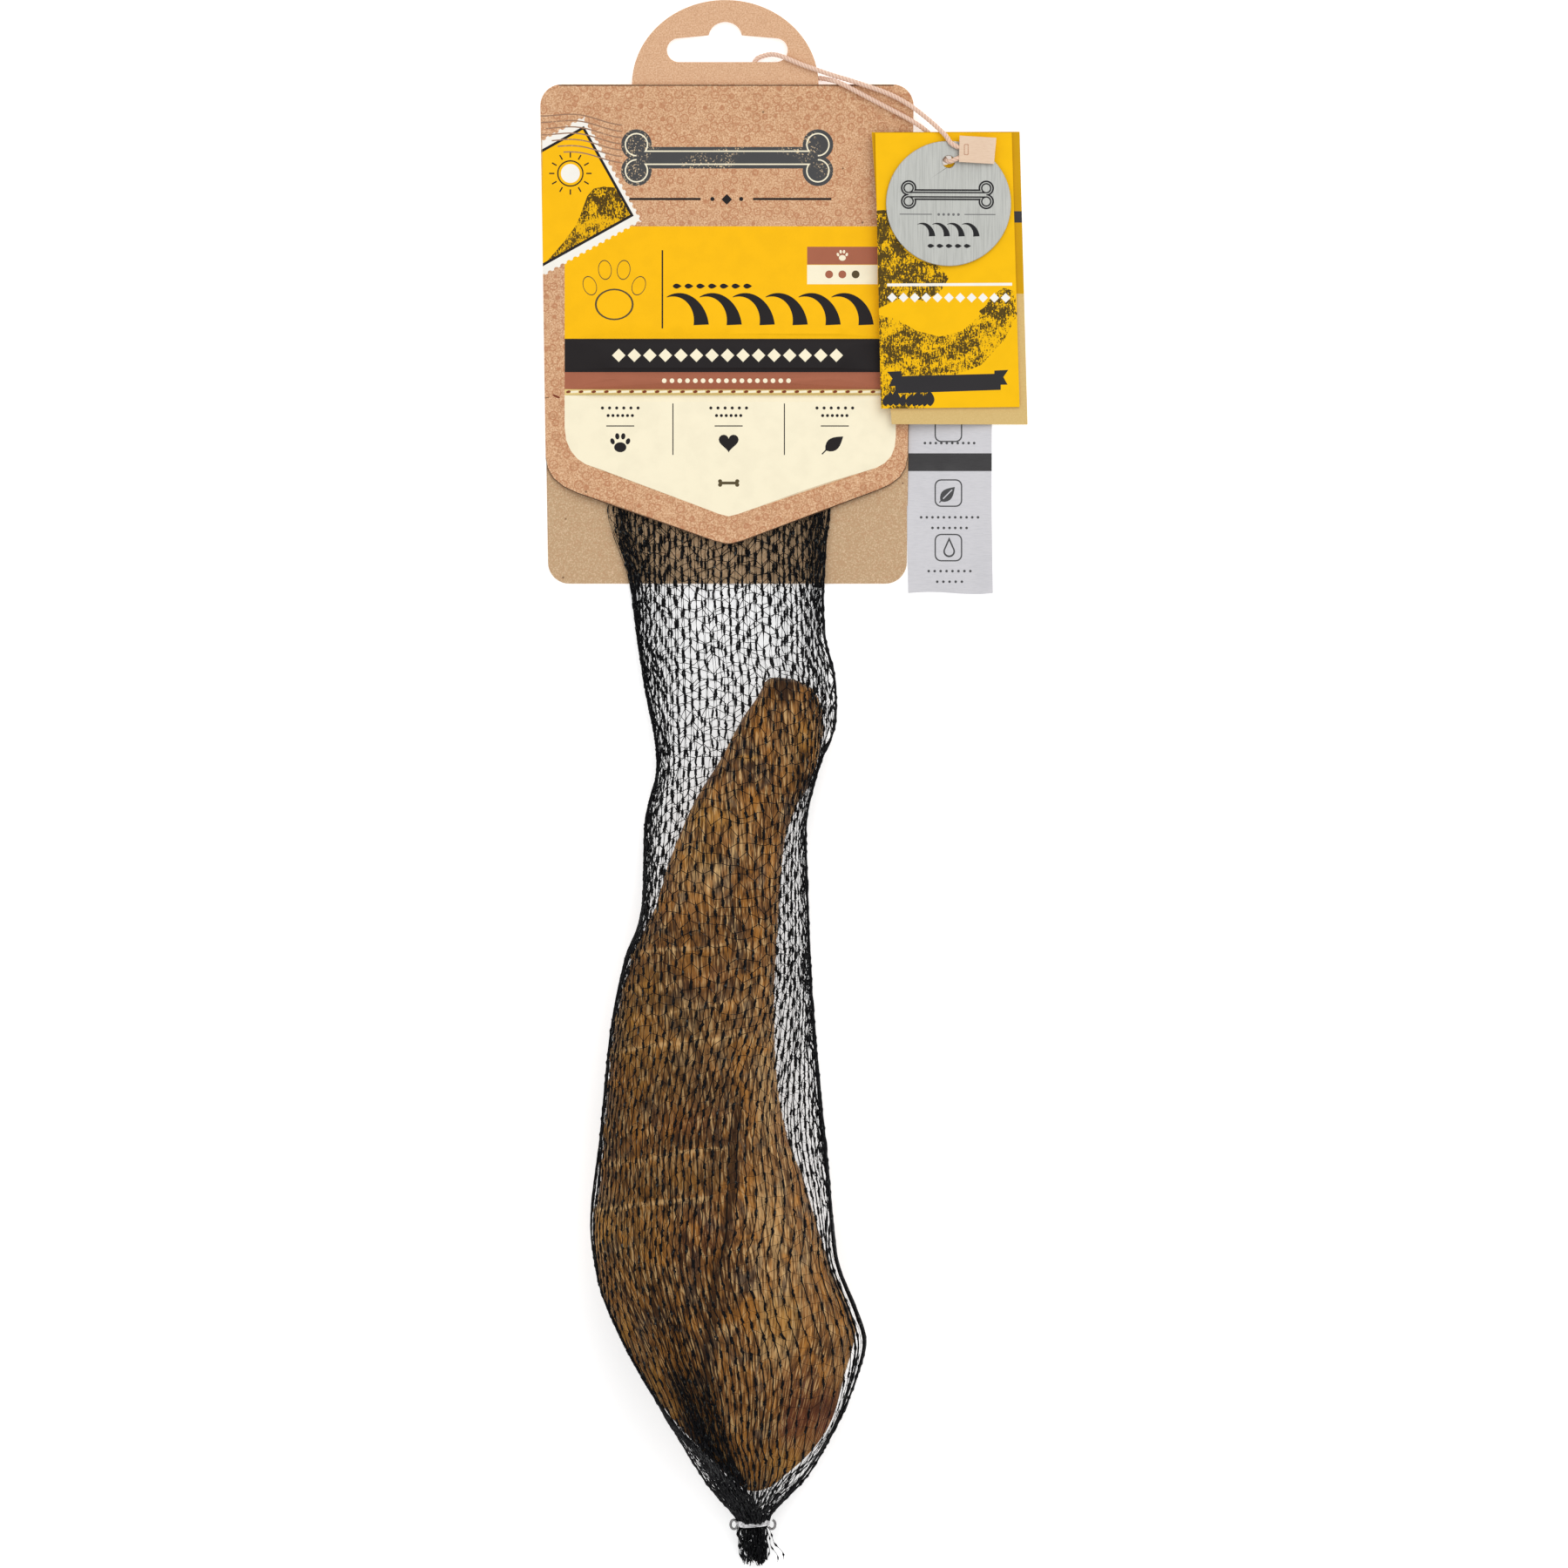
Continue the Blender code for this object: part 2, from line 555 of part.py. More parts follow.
def spaced(side, up):
    """Return half of a ring: equal steps from each end to its shoulder and between the shoulders."""
    (start_x, start_z), (end_x, end_z) = side[0], side[-1]
    width = end_x - start_x
    across = [2.0 * (x - start_x) / width for x, _ in side]
    chord = [start_z + (end_z - start_z) * share / 2.0 for share in across]
    rises = [(z - level) if up else (level - z) for (_, z), level in zip(side, chord)]
    tallest = max(rises)
    left = max(range(1, len(side) - 2), key=lambda i: rises[i] / tallest - across[i])
    right = max(range(left + 1, len(side) - 1), key=lambda i: rises[i] / tallest + across[i])
    outer = NET_AROUND // 8
    return (
        equal_steps(side[:left + 1], outer)[:-1]
        + equal_steps(side[left:right + 1], NET_AROUND // 2 - 2 * outer)[:-1]
        + equal_steps(side[right:], outer)
    )


def net_rings(y):
    """Return the sleeve's outer and inner ring at y, from its right edge over the top."""
    core = net_core(y)
    core += net_edges(y, core)
    top, bottom = hull_side(core, True), hull_side(core, False)
    low = 0.1 + (BACK_THICKNESS + GAP - 0.1) * smoothstep(30.0, 50.0, y)
    bottom = [(x, max(z, low)) for x, z in bottom]
    half = NET_AROUND // 2
    outer = spaced(top, True)[::-1][:-1] + spaced(bottom, False)[:-1]
    centre_x, half_width = (top[0][0] + top[-1][0]) / 2, (top[-1][0] - top[0][0]) / 2
    inner = []
    for index, (x, z) in enumerate(outer):
        middle = (read_side(top, x) + read_side(bottom, x)) / 2
        reach = abs(z - middle)
        reach = max(reach - NET_WALL, reach * 0.25)
        upper = 0 < index < half
        inner_z = middle + (reach if upper else -reach)
        if index in (0, half):
            inner_z = middle
        inner.append((centre_x + (x - centre_x) * (1.0 - NET_WALL / half_width), inner_z))
    return outer, inner


def net_sleeve():
    """Add the sleeve: open at its mouth between the cards, gathered at the tie into a tail."""
    outer_rows, inner_rows = [], []
    for y in NET_SECTIONS:
        outer, inner = net_rings(y)
        outer_rows.append([(x, y, z) for x, z in outer])
        if y > TIE_Y + 6.0:
            inner_rows.append([(x, y, z) for x, z in inner])
    tail = [(TIE_Y - 1.6, 4.0, 3.1, 5.6), (TIE_Y - 5.0, 4.3, 3.2, 4.4), (TAIL_END_Y, 4.5, 2.9, 3.1)]
    for y, half_width, half_height, centre_z in tail:
        outer_rows.append([
            (
                NECK_CENTRE[0] + half_width * math.cos(2 * math.pi * i / NET_AROUND),
                y,
                centre_z + half_height * math.sin(2 * math.pi * i / NET_AROUND),
            )
            for i in range(NET_AROUND)
        ])
    rows = outer_rows[::-1] + inner_rows
    points = [point for row in rows for point in row]
    faces = []
    for row in range(len(rows) - 1):
        a, b = row * NET_AROUND, (row + 1) * NET_AROUND
        for i in range(NET_AROUND):
            j = (i + 1) % NET_AROUND
            faces.append((a + i, a + j, b + j, b + i))
    for row in (0, len(rows) - 1):
        middle = [sum(p[k] for p in rows[row]) / NET_AROUND for k in range(3)]
        points.append(tuple(middle))
        first = row * NET_AROUND
        faces += [(first + i, first + (i + 1) % NET_AROUND, len(points) - 1) for i in range(NET_AROUND)]
    net = material("black net", (0.012, 0.012, 0.013), 0.6)
    add_object("net_sleeve", points, faces, net, 60)


def sweep(name, path, radius, finish, sides=8):
    """Add a round wire along an open path in one plane across Y, with flat ends."""
    points = []
    for index, (x, y, z) in enumerate(path):
        before = Vector(path[max(index - 1, 0)])
        after = Vector(path[min(index + 1, len(path) - 1)])
        ahead = (after - before).normalized()
        side = ahead.cross(Vector((0, 1, 0))).normalized()
        up = side.cross(ahead)
        for step in range(sides):
            turn = 2 * math.pi * step / sides
            points.append(tuple(Vector((x, y, z)) + radius * (math.cos(turn) * side + math.sin(turn) * up)))
    faces = []
    for row in range(len(path) - 1):
        a, b = row * sides, (row + 1) * sides
        faces += [(a + i, a + (i + 1) % sides, b + (i + 1) % sides, b + i) for i in range(sides)]
    last = (len(path) - 1) * sides
    faces += [tuple(range(sides)), tuple(range(last, last + sides))]
    return add_object(name, points, faces, finish, 50)


def tie_clip():
    """Add the wire clip closed round the net's neck, its two ends tucked underneath."""
    reach_x = NECK_HALF_WIDTH + GAP + TIE_WIRE_RADIUS
    reach_z = NECK_HALF_HEIGHT + GAP + TIE_WIRE_RADIUS
    path = []
    steps = 22
    for step in range(steps + 1):
        turn = math.radians(-75 + 330 * step / steps)
        bow = 1.0 + 0.1 * abs(math.cos(turn)) ** 6
        path.append((
            NECK_CENTRE[0] + reach_x * bow * math.cos(turn), TIE_Y,
            NECK_CENTRE[1] + reach_z * math.sin(turn),
        ))
    steel = material("clip wire", (0.72, 0.72, 0.70), 0.35, 1.0)
    sweep("tie_clip", path, TIE_WIRE_RADIUS, steel)


def lean(x):
    """Return the height of the leaning plane that the tags lie in."""
    return LEAN_Z - LEAN_SLOPE * (x - LEAN_X)


def tags():
    """Add the two tag leaves, the metal disc on them and the small label on the cord."""
    hole = arc(LEAF_HOLE, LEAF_HOLE_RADIUS, LEAF_HOLE_RADIUS, 0, 345, 15)
    back = material("tag back leaf", (0.62, 0.42, 0.18), 0.6)
    front = material("tag front leaf", (0.95, 0.52, 0.01), 0.5)
    sheet("tag_leaf_back", BACK_LEAF, [hole], lambda x, y: lean(x), LEAF_THICKNESS, back)
    front_z = LEAF_THICKNESS + LEAF_GAP
    sheet("tag_leaf_front", FRONT_LEAF, [hole], lambda x, y: lean(x) + front_z, LEAF_THICKNESS, front)
    disc_z = front_z + LEAF_THICKNESS + LEAF_GAP
    disc_outline = arc(DISC_CENTRE, DISC_RADIUS, DISC_RADIUS, 0, 352.5, 47)
    disc_hole = arc(DISC_HOLE, DISC_HOLE_RADIUS, DISC_HOLE_RADIUS, 0, 337.5, 15)
    steel = material("brushed disc", (0.55, 0.56, 0.56), 0.35, 1.0)
    sheet("metal_disc", disc_outline, [disc_hole], lambda x, y: lean(x) + disc_z, DISC_THICKNESS, steel)
    label_z = disc_z + DISC_THICKNESS + LEAF_GAP
    satin = material("cord label", (0.85, 0.66, 0.5), 0.6)
    sheet("cord_label", LABEL_CORNERS, [], lambda x, y: lean(x) + label_z, LABEL_THICKNESS, satin)


def ribbon_low(x, y):
    """Return the ribbon's underside: flat on the surface, and lifted under the tags."""
    lifted = smoothstep(*RIBBON_RAMP_Y, y)
    raised = lean(x) - LEAF_GAP - RIBBON_THICKNESS
    return 0.05 + (raised - 0.05) * lifted


def care_ribbon():
    """Add the satin ribbon that hangs from the cord behind the tags."""
    (top_x, top_y), (foot_x, foot_y) = RIBBON_TOP, RIBBON_FOOT
    outline = [
        (foot_x, foot_y), (foot_x + RIBBON_WIDTH, foot_y),
        (top_x + RIBBON_WIDTH, top_y), (top_x, top_y),
    ]
    hole = arc(RIBBON_HOLE, RIBBON_HOLE_RADIUS, RIBBON_HOLE_RADIUS, 0, 337.5, 15)
    rows = [
        (foot_x + 1.0 + (y - foot_y) * 0.016 + step * 5.2, float(y))
        for y in range(138, 162, 4) for step in range(5)
    ]
    satin = material("care ribbon", (0.66, 0.64, 0.63), 0.5)
    sheet("care_ribbon", outline, [hole], ribbon_low, RIBBON_THICKNESS, satin, rows)


def smooth_route(route, spacing):
    """Return evenly spaced points on a smooth curve through the route's own points."""
    ends = [route[0]] + list(route) + [route[-1]]
    fine = []
    for p0, p1, p2, p3 in zip(ends, ends[1:], ends[2:], ends[3:]):
        for step in range(24):
            t = step / 24
            fine.append([
                0.5 * (2 * b + (c - a) * t + (2 * a - 5 * b + 4 * c - d) * t * t
                       + (3 * b - a - 3 * c + d) * t ** 3)
                for a, b, c, d in zip(p0, p1, p2, p3)
            ])
    fine.append(list(route[-1]))
    lengths = [0.0]
    for a, b in zip(fine, fine[1:]):
        lengths.append(lengths[-1] + math.dist(a, b))
    count = round(lengths[-1] / spacing)
    points = []
    index = 0
    for step in range(count + 1):
        target = lengths[-1] * step / count
        while index < len(fine) - 2 and lengths[index + 1] < target:
            index += 1
        share = (target - lengths[index]) / (lengths[index + 1] - lengths[index])
        points.append([a + (b - a) * share for a, b in zip(fine[index], fine[index + 1])])
    return points


def hang_cord():
    """Add the twisted cotton cord that ties the tags to the card's slot."""
    points = smooth_route(CORD_ROUTE, CORD_SPACING)
    curve = bpy.data.curves.new("hang_cord", "CURVE")
    curve.dimensions = "3D"
    curve.bevel_depth = CORD_RADIUS * MM
    curve.bevel_resolution = 2
    curve.use_fill_caps = True
    spline = curve.splines.new("POLY")
    spline.points.add(len(points) - 1)
    for point, place in zip(spline.points, points):
        point.co = (*(Vector(place) * MM), 1.0)
    curve.materials.append(material("cotton cord", (0.72, 0.5, 0.38), 0.85))
    made = bpy.data.objects.new("hang_cord", curve)
    bpy.context.scene.collection.objects.link(made)


def main():
    """Clear the scene and add every piece."""
    for old in list(bpy.data.objects):
        bpy.data.objects.remove(old)
    header_card_back()
    header_card_front()
    horn()
    net_sleeve()
    tie_clip()
    tags()
    care_ribbon()
    hang_cord()


main()
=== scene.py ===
"""Looks of a goat horn chew in a knitted net sleeve, hung under a printed kraft header card.

The chew lies on its back. X runs across the card, Y runs along the horn towards the hanging tab
and Z points up. Sizes are in millimetres, and meshes are written in metres. A table of numbers is
a string of rows: spaces part the numbers of a row, and commas part the rows.
"""

import logging
import math
from collections.abc import Callable
from dataclasses import dataclass, field
from enum import Enum

import bpy
import numpy as np
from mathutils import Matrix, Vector
from mathutils.geometry import delaunay_2d_cdt


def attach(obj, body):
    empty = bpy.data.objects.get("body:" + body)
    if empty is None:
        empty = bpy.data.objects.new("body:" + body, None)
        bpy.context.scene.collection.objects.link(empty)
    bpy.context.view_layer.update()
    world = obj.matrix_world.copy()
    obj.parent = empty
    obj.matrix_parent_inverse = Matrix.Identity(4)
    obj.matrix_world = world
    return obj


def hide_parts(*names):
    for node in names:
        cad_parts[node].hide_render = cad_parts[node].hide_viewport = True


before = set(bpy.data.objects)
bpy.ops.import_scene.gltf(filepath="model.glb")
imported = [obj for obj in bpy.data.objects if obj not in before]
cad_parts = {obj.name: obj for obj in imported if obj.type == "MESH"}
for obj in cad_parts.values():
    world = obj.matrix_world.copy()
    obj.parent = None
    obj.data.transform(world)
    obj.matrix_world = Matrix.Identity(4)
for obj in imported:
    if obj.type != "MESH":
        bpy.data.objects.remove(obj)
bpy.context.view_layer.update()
LOG = logging.getLogger("chew")

MM = 0.001
PHOTO_SPAN = 414.0

Point2 = tuple[float, float]
Point3 = tuple[float, float, float]
Colour = tuple[float, float, float]
Outline = list[tuple[float, ...]]
Pair = tuple[np.ndarray, np.ndarray]
Faces = list[tuple[int, ...]]
Mesh = tuple[np.ndarray, Faces]
Material = bpy.types.Material
Piece = bpy.types.Object
Socket = bpy.types.NodeSocket
Source = Socket | float | tuple[float, ...]


class Slot(Enum):
    """Names of the material slots, one for each kind of piece."""

    CARD_BACK = "card_back"
    CARD_FRONT = "card_front"
    HORN = "horn"
    NET = "net"
    CLIP = "clip"
    TAG_BACK = "tag_back"
    TAG_FRONT = "tag_front"
    DISC = "disc"
    LABEL = "label"
    RIBBON = "ribbon"
    CORD = "cord"


def table(text: str) -> Outline:
    """Return the rows of numbers in a table."""
    return [tuple(map(float, row.split())) for row in text.split(",")]


def smoothstep(low: float, high: float, value: float | np.ndarray) -> float | np.ndarray:
    """Return 0 below low, 1 above high and a smooth rise between them."""
    share = np.clip((value - low) / (high - low), 0.0, 1.0)
    return share * share * (3.0 - 2.0 * share)


def lengths_along(line: np.ndarray) -> np.ndarray:
    """Return how far along a line of points each of them lies."""
    return np.concatenate(([0.0], np.cumsum(np.linalg.norm(np.diff(line, axis=0), axis=1))))


class Curve:
    """A smooth curve through (position, value) stations, held flat past both ends."""

    def __init__(self, stations: str) -> None:
        """Sort the stations and work out a slope at each that never overshoots.

        Args:
            stations: A table of positions and values, in any order.
        """
        rows = np.array(sorted(table(stations)))
        self.at, self.value = rows[:, 0], rows[:, 1]
        rise = np.diff(self.value) / np.diff(self.at)
        before, after = rise[:-1], rise[1:]
        same_way = before * after > 0.0
        total = np.where(same_way, before + after, 1.0)
        middle = np.where(same_way, 2.0 * before * after / total, 0.0)
        self.slope = np.concatenate(([rise[0]], middle, [rise[-1]]))

    def __call__(self, at: float | np.ndarray) -> np.ndarray:
        """Read the curve.

        Args:
            at: One position or an array of them.

        Returns:
            The value at each position.
        """
        where = np.clip(np.asarray(at, float), self.at[0], self.at[-1])
        index = np.clip(np.searchsorted(self.at, where, side="right") - 1, 0, len(self.at) - 2)
        span = self.at[index + 1] - self.at[index]
        share = (where - self.at[index]) / span
        square, cube = share * share, share**3
        return (
            (2 * cube - 3 * square + 1) * self.value[index]
            + (cube - 2 * square + share) * self.slope[index] * span
            + (3 * square - 2 * cube) * self.value[index + 1]
            + (cube - square) * self.slope[index + 1] * span
        )


def curve(stations: str) -> Curve:
    """Return a dataclass field that holds a curve through the stations."""
    return field(default_factory=lambda: Curve(stations))


class Paint:
    """A Principled material under construction, in object coordinates counted in millimetres."""

    def __init__(
        self, name: str, colour: Colour, roughness: float, metallic: float = 0.0, gloss: float = 0.5
    ) -> None:
        """Make the material with its shader and its coordinates.

        Args:
            name: The material's name.
            colour: Its plain colour, which a linked texture replaces.
            roughness: Its plain roughness.
            metallic: 1 for bare metal.
            gloss: How strongly the surface mirrors straight on, 0.5 for plain plastic.
        """
        self.material = bpy.data.materials.new(name)
        self.material.use_nodes = True
        self.shader = self.material.node_tree.nodes["Principled BSDF"]
        self.coat("Base Color", colour)
        self.coat("Roughness", roughness)
        self.coat("Metallic", metallic)
        self.coat("Specular IOR Level", gloss)
        self.place = self.add("TexCoord", {}, "Object")
        self.unit = MM

    def feed(self, source: Source, target: Socket) -> None:
        """Fill a socket.

        Args:
            source: Another socket to link, or a number or colour that is the same all over.
            target: The socket to fill.
        """
        if isinstance(source, Socket):
            self.material.node_tree.links.new(source, target)
        else:
            target.default_value = (*source, 1.0) if target.type == "RGBA" else source

    def coat(self, target: str, source: Source) -> None:
        """Fill one of the shader's own sockets."""
        self.feed(source, self.shader.inputs[target])

    def add(self, kind: str, inputs: dict[str | int, Source], output: str | int, **settings: str) -> Socket:
        """Add a node.

        Args:
            kind: Its type, without the prefix that all shader nodes share.
            inputs: What its inputs are filled with.
            output: Which of its outputs is wanted.
            settings: Its other properties.

        Returns:
            That output.
        """
        made = self.material.node_tree.nodes.new("ShaderNode" + kind)
        for key, value in settings.items():
            setattr(made, key, value)
        for key, source in inputs.items():
            self.feed(source, made.inputs[key])
        return made.outputs[output]

    def stretched(self, counts: Point3, turn: float = 0.0) -> Socket:
        """Return the coordinates times counts per millimetre, turned about Z in degrees."""
        scale, rotation = tuple(count / self.unit for count in counts), (0.0, 0.0, math.radians(turn))
        return self.add("Mapping", {"Vector": self.place, "Scale": scale, "Rotation": rotation}, "Vector")

    def noise(self, counts: Point3, detail: float = 2.0, warp: float = 0.0, turn: float = 0.0) -> Socket:
        """Add soft noise.

        Args:
            counts: About how many blots there are in a millimetre across, along and up.
            detail: How many finer layers it has.
            warp: How much it is distorted.
            turn: Its angle about Z, in degrees.

        Returns:
            The noise, from 0 to 1.
        """
        place = self.stretched(counts, turn)
        shape = {"Vector": place, "Scale": 1.0, "Detail": detail, "Distortion": warp}
        return self.add("TexNoise", shape, "Fac")

    def cells(self, count: float, jitter: float = 1.0) -> Socket:
        """Return the distance to the nearest of scattered points, count of them in each millimetre."""
        shape = {"Vector": self.stretched((count, count, 0.0)), "Scale": 1.0, "Randomness": jitter}
        return self.add("TexVoronoi", shape, "Distance", feature="F1")

    def attribute(self, name: str) -> Socket:
        """Return a number that the mesh carries at its points."""
        return self.add("Attribute", {}, "Fac", attribute_name=name)

    def ramp(self, value: Socket, low: float, high: float, start: float = 0.0, end: float = 1.0) -> Socket:
        """Return start where value is under low, end where it is over high, and a slope between."""
        limits = {"Value": value, "From Min": low, "From Max": high, "To Min": start, "To Max": end}
        return self.add("MapRange", limits, "Result", interpolation_type="SMOOTHSTEP")

    def plus(self, first: Source, second: Source) -> Socket:
        """Return the sum of two numbers."""
        return self.add("Math", {0: first, 1: second}, "Value", operation="ADD")

    def times(self, first: Source, second: Source) -> Socket:
        """Return the product of two numbers."""
        return self.add("Math", {0: first, 1: second}, "Value", operation="MULTIPLY")

    def mixed(self, share: Source, first: Source, second: Source) -> Socket:
        """Return the first colour where share is 0 and the second where it is 1."""
        return self.add("Mix", {0: share, 6: first, 7: second}, 2, data_type="RGBA")

    def over(self, ground: Source, shade: Source, value: Socket, *limits: float) -> Socket:
        """Return the ground colour with a shade laid over it by a ramp of the value."""
        return self.mixed(self.ramp(value, *limits), ground, shade)

    def done(self, colour: Source, relief: Socket, depth: float, strength: float = 1.0) -> Material:
        """Finish the material.

        Args:
            colour: Its textured colour.
            relief: The relief of its bump, from 0 to 1.
            depth: How deep the relief is, in millimetres.
            strength: How much of it shows.

        Returns:
            The material.
        """
        self.coat("Base Color", colour)
        bump = {"Height": relief, "Distance": depth * MM, "Strength": strength}
        self.coat("Normal", self.add("Bump", bump, "Normal"))
        return self.material


@dataclass(frozen=True)
class Kraft:
    """Recycled kraft board: mottled, with fine fibres, dark flecks and faint round rosettes."""

    name: str
    colour: Colour
    shade: Colour
    light: Colour
    rosettes: float = 0.0
    grain: float = 1.0
    lower_colour: Colour | None = None
    lower_y: Point2 = (170.0, 184.0)
    rosette: Colour = (0.47, 0.195, 0.095)
    fleck: Colour = (0.16, 0.08, 0.04)

    def make(self) -> Material:
        """Make the board's material.

        Returns:
            The material.
        """
        paint = Paint(self.name, self.colour, 0.85, gloss=0.12)
        fine = paint.noise((2.6, 2.6, 2.6), 3.0)
        blots = paint.noise((0.45, 0.45, 0.45), 2.0, 0.6)
        colour: Source = self.colour
        if self.lower_colour is not None:
            height = paint.add("SeparateXYZ", {"Vector": paint.place}, "Y")
            colour = paint.over(self.lower_colour, self.colour, height, *(y * MM for y in self.lower_y))
        colour = paint.over(colour, self.shade, fine, 0.48, 0.64, 0.0, 0.95 * self.grain)
        colour = paint.over(colour, self.light, fine, 0.32, 0.5, 0.95 * self.grain, 0.0)
        colour = paint.over(colour, self.shade, blots, 0.5, 0.75, 0.0, 0.35 * self.grain)
        if self.rosettes:
            rings = paint.cells(0.36, 0.55)
            disc = paint.ramp(rings, 0.40, 0.46, 0.4, 0.0)
            outline = paint.times(paint.ramp(rings, 0.32, 0.38), paint.ramp(rings, 0.42, 0.47, 1.0, 0.0))
            petals = paint.ramp(paint.cells(1.5), 0.25, 0.4, 1.0, 0.2)
            share = paint.times(paint.plus(paint.times(disc, petals), outline), self.rosettes)
            colour = paint.mixed(share, colour, self.rosette)
        colour = paint.over(colour, self.fleck, paint.cells(0.16), 0.035, 0.06, 0.8, 0.0)
        return paint.done(colour, fine, 0.05, 0.5)


@dataclass(frozen=True)
class Ink:
    """A flat printing ink on paper, a little mottled, and worn through in spots where wear is set."""

    name: str
    colour: Colour
    under: Colour | None = None
    wear: float = 0.0

    def make(self) -> Material:
        """Make the ink's material.

        Returns:
            The material.
        """
        paint = Paint(self.name, self.colour, 0.5, gloss=0.1)
        cloud = paint.noise((0.22, 0.22, 0.22), 3.0)
        colour = paint.over(self.colour, tuple(part * 0.96 for part in self.colour), cloud, 0.35, 0.7)
        if self.under is not None:
            spots = paint.ramp(paint.noise((2.2, 2.2, 2.2), 3.0), 0.6, 0.63)
            region = paint.ramp(paint.noise((0.09, 0.12, 0.1), 1.0), 0.45, 0.6)
            colour = paint.mixed(paint.times(paint.times(spots, region), self.wear), colour, self.under)
        return paint.done(colour, paint.noise((3.0, 3.0, 3.0)), 0.02, 0.35)


@dataclass(frozen=True)
class Drawing:
    """A stippled drawing: dark pen dots and hatching that thin out over the paper's own colour."""

    name: str
    paper: Colour
    dark: Colour
    cover: float

    def make(self) -> Material:
        """Make the drawing's material.

        Returns:
            The material.
        """
        paint = Paint(self.name, self.paper, 0.6, gloss=0.1)
        dots = paint.noise((2.4, 2.4, 2.4), 3.0, 0.4)
        strokes = paint.noise((3.2, 0.7, 1.0), 2.0, 0.8, 35.0)
        tone = paint.plus(paint.plus(dots, strokes), paint.noise((0.3, 0.3, 0.3), 3.0, 0.5))
        edge = 1.5 + (0.5 - self.cover) * 0.5
        colour = paint.over(self.paper, self.dark, tone, edge - 0.05, edge + 0.05, 0.05, 0.95)
        return paint.done(colour, dots, 0.01, 0.3)


class Tint(Enum):
    """The markings on the horn, by the name of the number that its points carry; the tan marking is partly
    painted highlight and the dark marking partly painted shade.
    """

    RED = "red_mark"
    # partly paler patches, partly painted highlight on the right lobe
    TAN = "tan_mark"
    # partly darker patches, mostly painted shade in hollows, grooves and creases
    DARK = "dark_mark"
    STRAW = "straw_mark"


@dataclass(frozen=True)
class Keratin:
    """Goat horn: brown streaks along the sheath, patches of warmer and greyer brown, and painted highlight
    and shade.
    """

    name: str = "horn keratin"
    brown: Colour = (0.340, 0.146, 0.040)
    deep: Colour = (0.036, 0.014, 0.005)
    tan: Colour = (0.690, 0.435, 0.190)
    red: Colour = (0.150, 0.036, 0.016)
    straw: Colour = (0.520, 0.270, 0.050)
    amber: Colour = (0.440, 0.178, 0.032)
    umber: Colour = (0.140, 0.092, 0.058)

    def make(self) -> Material:
        """Make the horn's material.

        Returns:
            The material.
        """
        paint = Paint(self.name, self.brown, 0.6, gloss=0.14)
        lanes = {"X": paint.attribute("lane"), "Y": paint.attribute("reach")}
        paint.place, paint.unit = paint.add("CombineXYZ", lanes, "Vector"), 1.0
        patches = paint.noise((0.10, 0.05, 1.0), 3.0, 0.6)
        streaks = paint.noise((0.75, 0.07, 1.0), 3.0, 0.4)
        fine = paint.noise((1.7, 0.20, 1.0), 3.0, 0.5)
        hues = paint.noise((0.17, 0.11, 1.0), 3.0, 0.8)
        ring = paint.attribute("ring")
        colour = paint.over(self.brown, self.deep, patches, 0.42, 0.66, 0.0, 0.58)
        colour = paint.over(colour, self.amber, hues, 0.34, 0.48, 0.9, 0.0)
        colour = paint.over(colour, self.umber, hues, 0.54, 0.66, 0.0, 0.9)
        marks = ((Tint.TAN, self.tan, 0.75), (Tint.RED, self.red, 0.85), (Tint.STRAW, self.straw, 0.85))
        for tint, shade, most in marks:
            mark = paint.times(paint.attribute(tint.value), paint.ramp(streaks, 0.3, 0.62, 0.5, 1.3))
            colour = paint.over(colour, shade, mark, 0.05, 1.0, 0.0, most)
        # painted highlight: the crests of the growth rings are lightened towards tan
        lit_ridges = paint.times(paint.ramp(ring, 0.62, 0.95, 0.0, 0.78), paint.ramp(fine, 0.46, 0.56, 1.0, 0.5))
        colour = paint.mixed(lit_ridges, colour, self.tan)
        colour = paint.over(colour, self.deep, streaks, 0.5, 0.7, 0.0, 0.5)
        colour = paint.over(colour, self.tan, fine, 0.35, 0.47, 0.95, 0.0)
        colour = paint.over(colour, self.deep, fine, 0.5, 0.61, 0.0, 0.86)
        colour = paint.over(colour, self.amber, hues, 0.34, 0.46, 0.4, 0.0)
        for tint, shade in ((Tint.STRAW, self.amber), (Tint.RED, self.red)):
            colour = paint.over(colour, shade, paint.attribute(tint.value), 0.2, 1.1, 0.0, 0.55)
        # painted shade: the hollows between the growth rings are darkened
        colour = paint.over(colour, self.deep, ring, 0.05, 0.35, 0.3, 0.0)
        # painted shade: the dark marking, mostly shade in hollows, grooves and creases
        dark = paint.times(paint.attribute(Tint.DARK.value), paint.ramp(fine, 0.3, 0.6, 0.75, 1.25))
        colour = paint.over(colour, self.deep, dark, 0.05, 1.0, 0.0, 0.85)
        paint.coat("Roughness", paint.ramp(patches, 0.35, 0.7, 0.66, 0.45))
        return paint.done(colour, paint.plus(streaks, fine), 0.35, 0.8)


